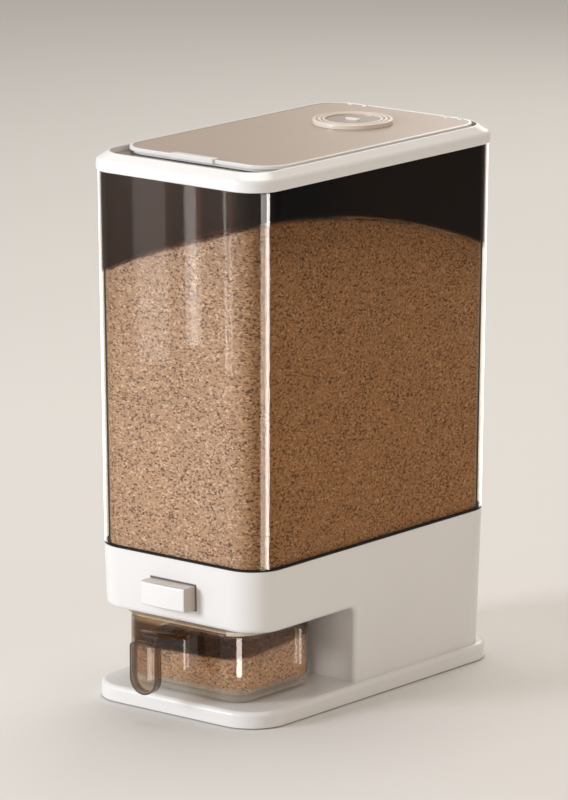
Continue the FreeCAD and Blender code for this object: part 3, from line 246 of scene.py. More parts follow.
# Moulded plastic: scale and ends of the drift in its shade and in its roughness.
SHADE_DRIFT, SHADE_DIM, SHADE_BRIGHT = 14.0, (0.975, 0.975, 0.975, 1.0), (1.02, 1.02, 1.02, 1.0)
GLOSS_DRIFT, GLOSS_KEEN, GLOSS_DULL = 55.0, 0.82, 1.17
HOUSING_GLOSS = {"roughness": 0.24, "texture": 0.015, "coat": 0.25}
LID_GLOSS = {"roughness": 0.25, "texture": 0.015, "coat": 0.15}
BUTTON_GLOSS = {"roughness": 0.3, "texture": 0.02, "coat": 0.15}

# A clear wall mirrors more by this power of how far it turns away.
MIRROR_POWER = 5.0
# How much the tank mirrors head on: front and back, deep sides, and more at smoky corners.
TANK_MIRROR_FRONT, TANK_MIRROR_SIDE, TANK_MIRROR_CORNER = 0.016, 0.005, 0.05
TANK_SIDE_POWER = 12.0
TANK_HAZE = 0.016
# How far the tank's corner turns away where its painted shade begins to show, and shows in full.
CORNER_SHADE_TURN = (0.575, 0.7)
# A product of two lengths under this one counts as none.
NEARLY_NONE = 1e-7
# The cup: painted shade left under its rim, and strengths of its painted dark edges and its painted
# highlights.
CUP_UNDER_RIM_SHADE = 0.15
CUP_EDGE_POWER, CUP_EDGE_LOW, GRIP_OUTLINE_SHADE = 4.5, 0.4, 0.65
CUP_RIM_HIGHLIGHT, CUP_FOOT_HIGHLIGHT = 0.7, 0.42

# Packed rice: number of cells, bends, flecks, patches and broad clouds to the metre.
RICE_CELLS, RICE_BENDS, RICE_FLECKS, RICE_PATCHES, RICE_CLOUDS = 560.0, 380.0, 440.0, 60.0, 11.0
RICE_BEND = 0.0024


class Shader:
    """A material's node tree, built one node at a time."""

    def __init__(self, name):
        self.material = bpy.data.materials.new(name)
        self.material.use_nodes = True
        self.tree = self.material.node_tree
        self.tree.nodes.clear()
        self.output = self.tree.nodes.new("ShaderNodeOutputMaterial")
        self.place = self.tree.nodes.new("ShaderNodeTexCoord").outputs["Object"]

    def feed(self, socket, value):
        """Links a socket, or sets its value."""
        if isinstance(value, bpy.types.NodeSocket):
            self.tree.links.new(value, socket)
        else:
            socket.default_value = value

    def node(self, kind, inputs=None, **settings):
        """A new node with its settings and inputs."""
        node = self.tree.nodes.new("ShaderNode" + kind)
        for key, value in settings.items():
            setattr(node, key, value)
        for key, value in (inputs or {}).items():
            self.feed(node.inputs[key], value)
        return node

    def parts(self):
        """The three parts of a place on the piece."""
        return self.node("SeparateXYZ", {0: self.place}).outputs

    def normals(self):
        """The three parts of the surface's own direction."""
        facing = self.node("TexCoord").outputs["Normal"]
        return self.node("SeparateXYZ", {0: facing}).outputs

    def math(self, operation, first, second=0.0, third=0.0, clamp=False):
        """The result of a sum on two or three values."""
        inputs = {0: first, 1: second, 2: third}
        return self.node("Math", inputs, operation=operation, use_clamp=clamp).outputs[0]

    def times(self, first, second):
        """One value times another."""
        return self.math("MULTIPLY", first, second)

    def minus(self, first, second):
        """One value less another."""
        return self.math("SUBTRACT", first, second)

    def unsigned(self, value):
        """A value without its sign."""
        return self.math("ABSOLUTE", value)

    def reach(self, first, second):
        """The length of a line with the two given parts."""
        squares = self.math("ADD", self.times(first, first), self.times(second, second))
        return self.math("SQRT", squares)

    def between(self, value, none, full):
        """A share that goes from 0 where the value is none to 1 where it is full."""
        slope = 1.0 / (full - none)
        return self.math("MULTIPLY_ADD", value, slope, -none * slope, clamp=True)

    def level(self, share, first, second):
        """A number that goes from the first to the second as the share goes from 0 to 1."""
        return self.math("MULTIPLY_ADD", share, second - first, first)

    def turned_away(self, power):
        """How far the surface turns away from the view, raised to a power."""
        facing = self.node("LayerWeight", {"Blend": 0.5}).outputs["Facing"]
        return self.math("POWER", facing, power)

    def mix(self, share, first, second, blend="MIX"):
        """Two colours mixed."""
        node = self.node("Mix", data_type="RGBA", blend_type=blend)
        self.feed(node.inputs[0], share)
        self.feed(node.inputs[6], first)
        self.feed(node.inputs[7], second)
        return node.outputs[2]

    def dimmed(self, base, factor):
        """A colour made darker or lighter."""
        return self.mix(1.0, base, (factor, factor, factor, 1.0), "MULTIPLY")

    def stretched(self, scale, turn=(0.0, 0.0, 0.0)):
        """Object coordinates, turned and scaled."""
        inputs = {"Vector": self.place, "Scale": scale, "Rotation": turn}
        return self.node("Mapping", inputs).outputs[0]

    def grain(self, scale, detail=3.0, where=None):
        """Value of a noise texture."""
        inputs = {"Vector": where or self.place, "Scale": scale, "Detail": detail}
        return self.node("TexNoise", inputs).outputs[0]

    def ramp(self, value, *stops):
        """A colour ramp over (position, colour) stops."""
        node = self.node("ValToRGB", {0: value})
        elements = node.color_ramp.elements
        while len(elements) < len(stops):
            elements.new(0.5)
        for element, (position, shade) in zip(elements, stops):
            element.position = position
            element.color = shade
        return node.outputs[0]

    def matt(self, shade):
        """A matt closure."""
        return self.node("BsdfDiffuse", {"Color": shade}).outputs[0]

    def blend(self, share, first, second):
        """Two closures mixed."""
        return self.node("MixShader", {0: share, 1: first, 2: second}).outputs[0]

    def finish(self, surface):
        """Sets what the surface shows."""
        self.feed(self.output.inputs["Surface"], surface)
        return self.material

    def finish_solid(self, base, rough, height, strength, depth=0.2 * MM, more=None):
        """Finishes an opaque surface whose fine relief follows a height."""
        relief = {"Height": height, "Strength": strength, "Distance": depth}
        inputs = {
            "Base Color": base,
            "Roughness": rough,
            "Normal": self.node("Bump", relief).outputs[0],
            **(more or {}),
        }
        return self.finish(self.node("BsdfPrincipled", inputs).outputs[0])


def solid(shade):
    """A colour with its alpha."""
    return (*shade, 1.0)


def scaled(shade, factor):
    """A colour made darker or lighter, with its alpha."""
    return (*(min(1.0, part * factor) for part in shade), 1.0)


def moulded(shader, shade, roughness, texture=0.02, coat=0.0, cell=700.0):
    """Finishes a shader as moulded plastic: faint clouds, uneven gloss and a mould texture."""
    clouds = shader.mix(shader.grain(SHADE_DRIFT, 2.0), SHADE_DIM, SHADE_BRIGHT)
    drift = shader.grain(GLOSS_DRIFT, 4.0)
    return shader.finish_solid(
        shader.mix(1.0, shade, clouds, "MULTIPLY"),
        shader.level(drift, roughness * GLOSS_KEEN, roughness * GLOSS_DULL),
        shader.grain(cell, 4.0),
        strength=texture,
        more={"IOR": 1.5, "Coat Weight": coat, "Coat Roughness": 0.06},
    )


def plastic(name, shade, **finish):
    """Moulded plastic of one colour."""
    return moulded(Shader(name), solid(shade), **finish)


def two_tone(name, shade, sunk, depth_z):
    """Glossy plastic whose level faces below a height are another colour."""
    shader = Shader(name)
    low = shader.math("LESS_THAN", shader.parts()["Z"], depth_z)
    level = shader.math("GREATER_THAN", shader.normals()["Z"], 0.9)
    return moulded(shader, shader.mix(shader.times(low, level), solid(shade), sunk), **LID_GLOSS)


def button_material():
    """White button whose top and sides are painted a warm grey, as painted shade."""
    shader = Shader("White button")
    # Faces that turn away from the front get the warm grey: painted shade.
    ahead = shader.between(shader.normals()["Y"], -0.55, -0.80)
    shade = shader.mix(ahead, solid(colours().button_side_shade), solid(colours().button))
    return moulded(shader, shade, **BUTTON_GLOSS)


def housing_material():
    """Glossy white with a painted shadow in a thin band round the button."""
    shader = Shader("White housing")
    parts = shader.parts()
    past_x = shader.minus(shader.unsigned(parts["X"]), BUTTON_HALF_X)
    past_z = shader.minus(shader.unsigned(shader.minus(parts["Z"], BUTTON_Z)), BUTTON_HALF_Z)
    past = shader.math("MAXIMUM", past_x, past_z)
    # A thin band of the housing's front round the button's outline is painted dark: a painted
    # shadow.
    near = shader.between(past, 2 * BUTTON_SHADOW_WIDTH, BUTTON_SHADOW_WIDTH)
    ahead = shader.math("LESS_THAN", parts["Y"], TANK_LOW.y + HOUSING_FACE)
    gap = shader.times(near, ahead)
    shade = shader.mix(gap, solid(colours().housing), solid(colours().gap))
    return moulded(shader, shade, **HOUSING_GLOSS)


def metal(name, shade, roughness, brushing):
    """Bright steel with fine drawing lines along one axis."""
    shader = Shader(name)
    lines = shader.grain(900.0, 3.0, shader.stretched(brushing))
    return shader.finish_solid(
        shader.mix(lines, scaled(shade, 0.86), scaled(shade, 1.08)),
        shader.level(lines, roughness * 0.7, roughness * 1.3),
        lines,
        strength=0.05,
        depth=0.1 * MM,
        more={"Metallic": 1.0},
    )


def silicone_material():
    """Soft milky seal."""
    shader = Shader("Silicone seal")
    cloud = shader.mix(shader.grain(120.0), SILICONE, SILICONE_PALE)
    return shader.finish_solid(cloud, 0.45, shader.grain(900.0), strength=0.08)


def panel_material():
    """Satin panel with a glossy white raised edge, tab and side wall."""
    shader = Shader("Satin panel with white edge")
    raised = shader.math("GREATER_THAN", shader.parts()["Z"], PANEL_FACE_Z + PANEL_EDGE)
    upright = shader.math("LESS_THAN", shader.unsigned(shader.normals()["Z"]), 0.7)
    edge = shader.math("MAXIMUM", raised, upright)
    clouds = shader.grain(10.0, 3.0)
    satin = shader.mix(clouds, scaled(colours().panel, 0.94), scaled(colours().panel, 1.05))
    return shader.finish_solid(
        shader.mix(edge, satin, solid(colours().lid)),
        shader.level(edge, 0.36, 0.24),
        shader.grain(1500.0, 4.0),
        strength=0.04,
    )


def clear_wall(shader, passed, roughness, gloss=0.96, head_on=0.04):
    """A clear wall's closure, which mirrors more the more it turns away."""
    share = shader.math("MULTIPLY_ADD", shader.turned_away(MIRROR_POWER), gloss, head_on)
    window = shader.node("BsdfTransparent", {"Color": passed}).outputs[0]
    mirror = shader.node("BsdfGlossy", {"Color": WHITE, "Roughness": roughness}).outputs[0]
    return shader.blend(share, window, mirror)


def corner_shade_mask(shader):
    """How far a place lies inside the tank's corner and turns away from the view: the mask of the
    painted corner shade.
    """
    parts = shader.parts()
    fall = shader.math("MULTIPLY_ADD", parts["Z"], -TANK_LEAN, TANK_LEAN * TANK_SEAT_Z)
    half_y = TANK_HIGH.y - MIDDLE_Y
    over = []
    for place, middle, half in ((parts["X"], 0.0, TANK_HIGH.x), (parts["Y"], MIDDLE_Y, half_y)):
        aside = shader.unsigned(shader.minus(place, middle))
        past = shader.math("ADD", shader.minus(aside, half - TANK_CORNER), fall)
        over.append(shader.math("MAXIMUM", past, 0.0))
    both = shader.math("GREATER_THAN", shader.times(*over), NEARLY_NONE)
    inner = shader.math("LESS_THAN", shader.reach(*over), TANK_CORNER - TANK_WALL / 2)
    turned = shader.between(shader.turned_away(1.0), *CORNER_SHADE_TURN)
    return shader.times(shader.times(both, inner), turned)


def heap_height_nodes(shader, parts):
    """Height of the rice at the tank's walls: that of heap_height, less its crown and waves."""
    along = shader.math("ADD", parts["Y"], HEAP_FRONT - MIDDLE_Y)
    slope = shader.math("MULTIPLY_ADD", along, -HEAP_FALL, -HEAP_SLOPE)
    spine = shader.math("MULTIPLY_ADD", slope, along, sizes().heap_top)
    tilt = shader.math("MULTIPLY_ADD", along, HEAP_TILT / HEAP_TILT_REACH, -HEAP_TILT)
    across = shader.minus(HEAP_SIDE, parts["X"])
    short = shader.times(across, shader.minus(2 * HEAP_SIDE, across))
    lean = shader.times(across, shader.math("MULTIPLY_ADD", short, -HEAP_BULGE, 1.0))
    return shader.math("MULTIPLY_ADD", tilt, lean, spine)


def tank_material():
    """Clear moulded wall, smoky and darkened as painted shade above the rice, with painted shade on
    its sides, in its corners and at its foot.
    """
    shader = Shader("Smoky tank with painted shade")
    parts = shader.parts()
    # Above the heap's line on the walls the tank passes a darker colour: painted shade.
    share = shader.between(shader.minus(parts["Z"], heap_height_nodes(shader, parts)), *TANK_SHADE_BAND)
    sideways = shader.unsigned(shader.normals()["X"])
    # Side walls pass warmer, darker colours than the front and back: painted shade.
    beside = shader.mix(sideways, solid(colours().clear), solid(colours().clear_side_shade))
    over = shader.mix(sideways, solid(colours().smoke_and_shade), solid(colours().smoke_and_shade_side))
    side_on = shader.times(sideways, sideways)
    corner = shader.times(share, shader.times(side_on, shader.minus(1.0, side_on)))
    wide = shader.math("POWER", sideways, TANK_SIDE_POWER)
    head_on = shader.level(wide, TANK_MIRROR_FRONT, TANK_MIRROR_SIDE)
    head_on = shader.math("MULTIPLY_ADD", corner, TANK_MIRROR_CORNER, head_on)
    passed = shader.mix(share, beside, over)
    wall = clear_wall(shader, passed, roughness=0.03, gloss=0.98, head_on=head_on)
    hazy = shader.times(share, shader.level(sideways, TANK_HAZE, 0.0))
    wall = shader.blend(hazy, wall, shader.matt(solid(colours().haze)))
    # A painted shadow line at the tank's foot, and painted shade in its corners.
    foot = shader.math("LESS_THAN", parts["Z"], TANK_FOOT_Z + FOOT_SHADOW)
    dark = shader.math("MAXIMUM", corner_shade_mask(shader), foot)
    return shader.finish(shader.blend(dark, wall, shader.matt(solid(colours().seam))))


def above_cup_rice(shader, parts):
    """Share of a place in the cup that lies above the rice, as cup_height gives it."""
    low, rise = sizes().cup_front_fill, sizes().cup_back_fill - sizes().cup_front_fill
    per_depth = CUP_RISE_BACK * rise / (CUP_BACK - CUP_FRONT)
    per_width = CUP_RISE_SIDE * rise / (2 * CUP_HALF_X)
    back = shader.math("MULTIPLY_ADD", parts["Y"], per_depth, low)
    side = shader.math("MULTIPLY_ADD", parts["X"], per_width, back)
    offset = per_depth * CUP_FRONT - per_width * CUP_HALF_X
    above = shader.math("ADD", shader.minus(parts["Z"], side), offset)
    return shader.between(above, *CUP_SHADE_BAND)


def grip_painted_outline(shader, parts):
    """Where a dark outline is painted along the grip's moulded edge, as painted shade."""
    below = shader.math("MINIMUM", shader.minus(parts["Z"], GRIP_ROUND_Z), 0.0)
    out = shader.reach(parts["X"], below)
    edge = shader.math("GREATER_THAN", out, GRIP_HALF_X - GRIP_EDGE)
    front = shader.math("LESS_THAN", parts["Y"], CUP_LOW.y + GRIP_DEPTH)
    return shader.times(shader.times(edge, front), GRIP_OUTLINE_SHADE)


def cup_material():
    """Clear cup with painted shade where its walls are seen along their length, above the rice and
    on its grip, and painted highlights on its rim and foot.
    """
    shader = Shader("Clear cup")
    parts = shader.parts()
    dark = solid(colours().cup_edge_shade)
    # Above the rice the cup is painted darker, much less so just under its rim: painted shade.
    under_rim = shader.between(parts["Z"], CUP_BAND_Z, CUP_BAND_Z + CUP_BAND)
    smoke_and_shade = shader.level(under_rim, 1.0, CUP_UNDER_RIM_SHADE)
    share = shader.times(above_cup_rice(shader, parts), smoke_and_shade)
    bowl = shader.math("GREATER_THAN", parts["Y"], CUP_FRONT - 1.0 * MM)
    share = shader.times(share, bowl)
    sideways = shader.unsigned(shader.normals()["X"])
    above = shader.mix(sideways, solid(colours().cup_shade_above), solid(colours().cup_shade_above_side))
    # The grip passes a darker colour than the bowl: painted shade.
    beside = shader.mix(bowl, solid(colours().cup_grip_shade), solid(colours().cup))
    high = shader.between(parts["Z"], CUP_FLOOR_Z, CUP_FLOOR_Z + CUP_FOOT)
    # Painted shade where the walls are seen along their length, less towards the foot.
    edge = shader.times(shader.turned_away(CUP_EDGE_POWER), shader.level(high, CUP_EDGE_LOW, 1.0))
    passed = shader.mix(edge, shader.mix(share, beside, above), dark)
    passed = shader.mix(grip_painted_outline(shader, parts), passed, dark)
    wall = clear_wall(shader, passed, roughness=0.04)
    # Pale cream on the rim's top and the bowl's foot: painted highlight.
    shine = {"Base Color": solid(colours().cup_highlight), "Roughness": 0.2}
    cream = shader.node("BsdfPrincipled", shine).outputs[0]
    rim = shader.times(shader.math("GREATER_THAN", parts["Z"], CUP_HIGH.z - CUP_RIM), bowl)
    foot = shader.times(shader.level(high, CUP_FOOT_HIGHLIGHT, 0.0), bowl)
    pale = shader.math("MAXIMUM", shader.times(rim, CUP_RIM_HIGHLIGHT), foot)
    return shader.finish(shader.blend(pale, wall, cream))


def rice_material(name, painted_shade=(1.0, 1.0, 1.0)):
    """Packed rice: small grains of mixed tan shades with dark flecks between them."""
    shader = Shader(name)
    # A given colour factor darkens and warms the rice as painted shade.
    shades = (colours().rice, colours().rice_pale, colours().rice_dark)
    main, pale, dark = ([part * share for part, share in zip(shade, painted_shade)] for shade in shades)
    # Grains of many shades, with painted shade in the seams between them.
    place = shader.stretched((1.0, 1.0, 1.6), (0.3, 0.2, 0.0))
    wander = shader.node("TexNoise", {"Vector": place, "Scale": RICE_BENDS, "Detail": 2.0})
    pull = {0: wander.outputs["Color"], 1: (RICE_BEND, RICE_BEND, RICE_BEND)}
    bent = shader.node("VectorMath", pull, operation="MULTIPLY").outputs[0]
    moved = shader.node("VectorMath", {0: place, 1: bent}, operation="ADD").outputs[0]
    where = {"Vector": moved, "Scale": RICE_CELLS}
    cells = shader.node("TexVoronoi", where, feature="F1").outputs["Color"]
    seams = shader.node("TexVoronoi", where, feature="DISTANCE_TO_EDGE").outputs[0]
    base = shader.ramp(
        shader.node("SeparateColor", {0: cells}).outputs[0],
        (0.0, solid(dark)),
        (0.09, scaled(main, 0.45)),
        (0.16, scaled(main, 0.9)),
        (0.75, solid(main)),
        (1.0, solid(pale)),
    )
    seam_share = shader.times(shader.ramp(seams, (0.0, WHITE), (0.09, BLACK)), 0.3)
    base = shader.mix(seam_share, base, scaled(main, 0.4))
    # Dark flecks that come and go in patches.
    flecks = shader.grain(RICE_FLECKS, 3.0, shader.stretched((1.0, 1.0, 1.5), (0.5, 0.4, 0.0)))
    fleck_share = shader.ramp(flecks, (0.572, BLACK), (0.602, WHITE))
    patchy = shader.grain(RICE_PATCHES, 2.0)
    patches = shader.ramp(patchy, (0.38, (0.55, 0.55, 0.55, 1)), (0.62, WHITE))
    fleck_share = shader.mix(1.0, fleck_share, patches, "MULTIPLY")
    base = shader.mix(shader.times(fleck_share, 0.95), base, solid(dark))
    # Slow drift of the whole shade.
    broad = shader.grain(RICE_CLOUDS, 3.0)
    base = shader.mix(broad, shader.dimmed(base, 0.9), shader.dimmed(base, 1.08))
    height = shader.math("ADD", seams, shader.times(fleck_share, -0.4))
    return shader.finish_solid(base, 0.68, height, strength=0.3, depth=0.6 * MM)


def grain_material():
    """Loose grains: husks of mixed tan shades with fine streaks."""
    shader = Shader("Rice grains")
    cells = shader.node("TexVoronoi", {"Vector": shader.place, "Scale": 190.0}, feature="F1")
    base = shader.ramp(
        shader.node("SeparateColor", {0: cells.outputs["Color"]}).outputs[0],
        (0.0, scaled(colours().rice_dark, 1.7)),
        (0.25, scaled(colours().rice, 0.9)),
        (0.65, solid(colours().rice)),
        (1.0, solid(colours().rice_pale)),
    )
    streak = shader.grain(1400.0, 2.0)
    base = shader.mix(shader.times(streak, 0.3), base, scaled(colours().rice, 0.7))
    return shader.finish_solid(base, 0.5, streak, strength=0.2)


def floor_material():
    """Plain matt paint, faintly uneven."""
    shader = Shader("Floor paint")
    clouds = shader.grain(3.0)
    shade = shader.mix(clouds, scaled(colours().floor, 0.99), scaled(colours().floor, 1.01))
    return shader.finish(shader.matt(shade))


def cover(material, *names):
    """Gives CAD nodes one material."""
    for name in names:
        mesh = NODES[name].data
        mesh.materials.clear()
        mesh.materials.append(material)


# --- Rice -----------------------------------------------------------------------------


def rounded(across, along, half_x, half_y, radius):
    """A point of the square -1..1, moved into a rounded rectangle."""
    x, y = across * half_x, along * half_y
    over_x, over_y = abs(x) - (half_x - radius), abs(y) - (half_y - radius)
    if over_x <= 0 or over_y <= 0:
        return x, y
    a, b = over_x / radius, over_y / radius
    x = math.copysign(half_x - radius + radius * a * math.sqrt(1 - b * b / 2), x)
    y = math.copysign(half_y - radius + radius * b * math.sqrt(1 - a * a / 2), y)
    return x, y


def ripple(x, y, layer, scale):
    """A smooth random value on a point of the plan."""
    return noise.noise(Vector((x, y, layer)) * scale)


def heap_height(x, y):
    """Height of the rice in the tank on a point of the plan."""
    along = y - MIDDLE_Y + HEAP_FRONT
    spine = sizes().heap_top - (HEAP_SLOPE + HEAP_FALL * along) * along
    tilt = HEAP_TILT * (1 - along / HEAP_TILT_REACH)
    across = HEAP_SIDE - x
    lean = across * (1 - HEAP_BULGE * across * (2 * HEAP_SIDE - across))
    crown = HEAP_CROWN * (1 - (x / HEAP_SIDE) ** 2) * (1 - ((y - MIDDLE_Y) / HEAP_FRONT) ** 2)
    wave = HEAP_WAVE * ripple(x, y, 0.3, HEAP_WAVE_SCALE)
    small = HEAP_RIPPLE * ripple(x, y, 1.7, HEAP_RIPPLE_SCALE)
    return spine - tilt * lean + crown + wave + small


def cup_height(x, y):
    """Height of the rice in the cup on a point of the plan."""
    share = (y - CUP_FRONT) / (CUP_BACK - CUP_FRONT)
    side = (x + CUP_HALF_X) / (2 * CUP_HALF_X)
    low, high = sizes().cup_front_fill, sizes().cup_back_fill
    wave = CUP_WAVE * ripple(x, y, 4.1, CUP_WAVE_SCALE)
    return low + (high - low) * (CUP_RISE_BACK * share + CUP_RISE_SIDE * side) + wave


def tank_half(z, gap):
    """Half width and half depth of the tank's inside at height z, less a gap."""
    fall = TANK_FALL * (TANK_SEAT_Z - z) / (TANK_SEAT_Z - TANK_FOOT_Z)
    return TANK_HIGH.x - TANK_WALL - fall - gap, TANK_HIGH.y - MIDDLE_Y - TANK_WALL - fall - gap


def finished(bm, name):
    """A mesh object from a bmesh."""
    mesh = bpy.data.meshes.new(name)
    bm.to_mesh(mesh)
    bm.free()
    mesh.shade_smooth()
    piece = bpy.data.objects.new(name, mesh)
    bpy.context.scene.collection.objects.link(piece)
    return piece


def ring_place(point, half_x, half_y, middle, ring_x, ring_y, radius, ring_radius):
    """A rim point of the top moved to the matching place on a ring below."""
    x, y = point.x, point.y - middle
    core_x, core_y = half_x - radius, half_y - radius
    over_x, over_y = abs(x) - core_x, abs(y) - core_y
    if over_x > 0 and over_y > 0:
        out = math.hypot(over_x, over_y)
        x = math.copysign(ring_x - ring_radius + ring_radius * over_x / out, x)
        y = math.copysign(ring_y - ring_radius + ring_radius * over_y / out, y)
    elif over_x > 0:
        x = math.copysign(ring_x, x)
        y = y * (ring_y - ring_radius) / core_y
    else:
        x = x * (ring_x - ring_radius) / core_x
        y = math.copysign(ring_y, y)
    return x, y + middle


def rice_body(name, half_x, half_y, middle, radius, top, walls):
    """A closed heap: a fine top surface with walls that drop through the given rings."""
    bm = bmesh.new()
    across = round(2 * half_x / GRID_STEP)
    along = round(2 * half_y / GRID_STEP)
    bmesh.ops.create_grid(bm, x_segments=across, y_segments=along, size=1.0)
    for vert in bm.verts:
        x, y = rounded(vert.co.x, vert.co.y, half_x, half_y, radius)
        vert.co = Vector((x, y + middle, top(x, y + middle)))
    rim = [edge for edge in bm.edges if edge.is_boundary]
    for ring_x, ring_y, ring_radius, ring_z in walls:
        made = bmesh.ops.extrude_edge_only(bm, edges=rim)["geom"]
        rim = [item for item in made if isinstance(item, bmesh.types.BMEdge) and item.is_boundary]
        for vert in made:
            if isinstance(vert, bmesh.types.BMVert):
                x, y = ring_place(
                    vert.co, half_x, half_y, middle, ring_x, ring_y, radius, ring_radius
                )
                vert.co = Vector((x, y, ring_z))
    bmesh.ops.edgeloop_fill(bm, edges=rim)
    bmesh.ops.triangulate(bm, faces=[face for face in bm.faces if len(face.verts) > 4])
    bmesh.ops.recalc_face_normals(bm, faces=bm.faces)
    return finished(bm, name)


def loose_grains(name, count, half_x, half_y, middle, radius, top, seed):
    """Loose grains lying on a heap."""
    draw = random.Random(seed)
    bm = bmesh.new()
    long, thick = sizes().grain_length / 2, sizes().grain_width / 2
    shape = Matrix.Diagonal((long, thick, thick, 1.0))
    half_x, half_y = half_x - GRAIN_INSET, half_y - GRAIN_INSET
    for start in range(0, count, GRAIN_BATCH):
        batch = bmesh.new()
        for _ in range(min(GRAIN_BATCH, count - start)):
            x, y = rounded(draw.uniform(-1, 1), draw.uniform(-1, 1), half_x, half_y, radius)
            size = draw.uniform(*GRAIN_SIZES)
            tilt = draw.uniform(-GRAIN_TILT, GRAIN_TILT)
            turn = Euler((0.0, tilt, draw.uniform(0.0, math.tau))).to_matrix().to_4x4()
            lift = top(x, y + middle) + sizes().grain_width * GRAIN_LIFT
            place = Matrix.Translation((x, y + middle, lift)) @ turn @ Matrix.Scale(size, 4) @ shape
            bmesh.ops.create_icosphere(batch, subdivisions=1, radius=1.0, matrix=place)
        part = bpy.data.meshes.new("batch")
        batch.to_mesh(part)
        batch.free()
        bm.from_mesh(part)
        bpy.data.meshes.remove(part)
    return finished(bm, name)


# --- Stage ----------------------------------------------------------------------------

FLOOR_HALF = 9.0
WORLD_SHADE, WORLD_STRENGTH = (0.94, 0.865, 0.79, 1.0), 0.50
LIGHTS_AIM = Vector((0.0, MIDDLE_Y, 0.22))

# The view, in degrees from the front towards the right and above level, and in metres.
VIEW_TURN, VIEW_RISE = 39.33, 12.76
VIEW_TARGET = Vector((-0.01171, 0.01643, 0.21125))
VIEW_DISTANCE, VIEW_END = 4.5049, 60.0
LENS, SENSOR = 270.0, 36.0

# name, place, width, height, power, colour
LIGHTS = (
    ("Key", (-1.4, -2.7, 0.95), 0.9, 0.9, 71.0, (0.94, 0.97, 1.02)),
    ("Fill", (2.6, -0.4, 1.2), 1.4, 1.8, 10.5, (1.0, 0.79, 0.60)),
    ("Top", (-0.3, 0.5, 2.6), 1.4, 1.4, 26.0, (1.0, 0.95, 0.90)),
    ("Back", (-1.0, 2.4, 1.5), 1.4, 1.4, 12.0, (1.0, 0.95, 0.90)),
)

# A low light that only the rice in the cup catches.
CUP_FILL = ("Cup fill", (0.8, -0.25, 0.14), (-0.8, 0.15, -0.10), 0.3, 0.1, 1.4, (1.0, 0.86, 0.64))

# A narrow beam on the bay's floor and pillar: the spot it lights, and where it comes from.
BEAM_SPOT = Vector((0.064, -0.030, 0.024))
BEAM_TURN, BEAM_RISE, BEAM_DISTANCE, BEAM_SPREAD = 30.0, 20.0, 0.47, 3.0
BEAM_SIZE, BEAM_POWER, BEAM_SHADE = (0.026, 0.030), 0.0005, (1.0, 0.92, 0.84)

# name, place, point that it faces, width, height, power: narrow strips that only gloss shows
STRIPS = (
    ("Corner strip", (0.419, -0.1175, 0.171), (0.06, -0.10), 0.065, 0.312, 3.0),
    ("Corner glow", (0.402, -0.208, 0.171), (0.06, -0.10), 0.12, 0.312, 1.1),
    ("Wide strip", (-0.2634, -0.461, 0.2575), (0.0206, -0.125), 0.009, 0.155, 0.035),
    ("Left strip", (-0.305, -0.459, 0.2475), (-0.025, -0.125), 0.026, 0.175, 0.036),
    ("Thin strip", (-0.229, -0.463, 0.2475), (0.053, -0.125), 0.0015, 0.175, 0.012),
    ("Left edge", (-0.430, 0.070, 0.165), (-0.08, -0.11), 0.38, 0.32, 1.15),
    ("Right edge", (-0.040, 0.545, 0.165), (0.07, 0.14), 0.375, 0.32, 1.15),
    ("Cup corner", (0.135, -0.188, 0.018), (0.052, -0.113), 0.045, 0.030, 0.050),
    ("Cup line", (-0.067, -0.204, 0.016), (0.005, -0.1195), 0.0012, 0.026, 0.001),
    ("Cup side line", (0.129, 0.035, 0.016), (0.059, -0.051), 0.0015, 0.028, 0.001),
    ("Grip line", (-0.066, -0.246, 0.016), (0.006, -0.1615), 0.003, 0.026, 0.0015),
)
STRIP_SHADE = (1.0, 0.94, 0.905)


def towards(turn, rise):
    """The direction of a point that stands turned from the front and raised, in degrees."""
    turn, rise = math.radians(turn), math.radians(rise)
    flat = math.cos(rise)
    return Vector((math.sin(turn) * flat, -math.cos(turn) * flat, math.sin(rise)))


def facing(look):
    """The turn that makes a light or the camera look along a direction."""
    return look.to_track_quat("-Z", "Y").to_euler()


def area_light(name, place, look, width, height, power, shade):
    """A rectangular softbox at a place, which shines along a direction."""
    lamp = bpy.data.lights.new(name, "AREA")
    lamp.shape = "RECTANGLE"
    lamp.size, lamp.size_y = width, height
    lamp.energy = power
    lamp.color = shade
    light = bpy.data.objects.new(name, lamp)
    light.location = place
    light.rotation_euler = facing(look)
    bpy.context.scene.collection.objects.link(light)
    return light


def group(name, pieces):
    """A collection of pieces that a light can be linked to."""
    lit = bpy.data.collections.new(name)
    for piece in pieces:
        lit.objects.link(piece)
    return lit


def soft_lights():
    """The softboxes, and the two lights that only a few pieces catch."""
    for name, place, width, height, power, shade in LIGHTS:
        area_light(name, place, LIGHTS_AIM - Vector(place), width, height, power, shade)
    cup_rice = [bpy.data.objects[name] for name in ("rice_in_cup", "rice_grains_in_cup")]
    name, place, look, width, height, power, shade = CUP_FILL
    low_fill = area_light(name, place, Vector(look), width, height, power, shade)
    low_fill.visible_camera = False
    low_fill.light_linking.receiver_collection = group("Shows cup fill", cup_rice)
    away = towards(BEAM_TURN, BEAM_RISE)
    place = BEAM_SPOT + away * BEAM_DISTANCE
    beam = area_light("Bay beam", place, -away, *BEAM_SIZE, BEAM_POWER, BEAM_SHADE)
    beam.data.spread = math.radians(BEAM_SPREAD)
    beam.visible_camera = False
    beam.visible_glossy = False
    bay = [NODES[name] for name in ("housing", "base_plate")]
    beam.light_linking.receiver_collection = group("Shows bay beam", bay)


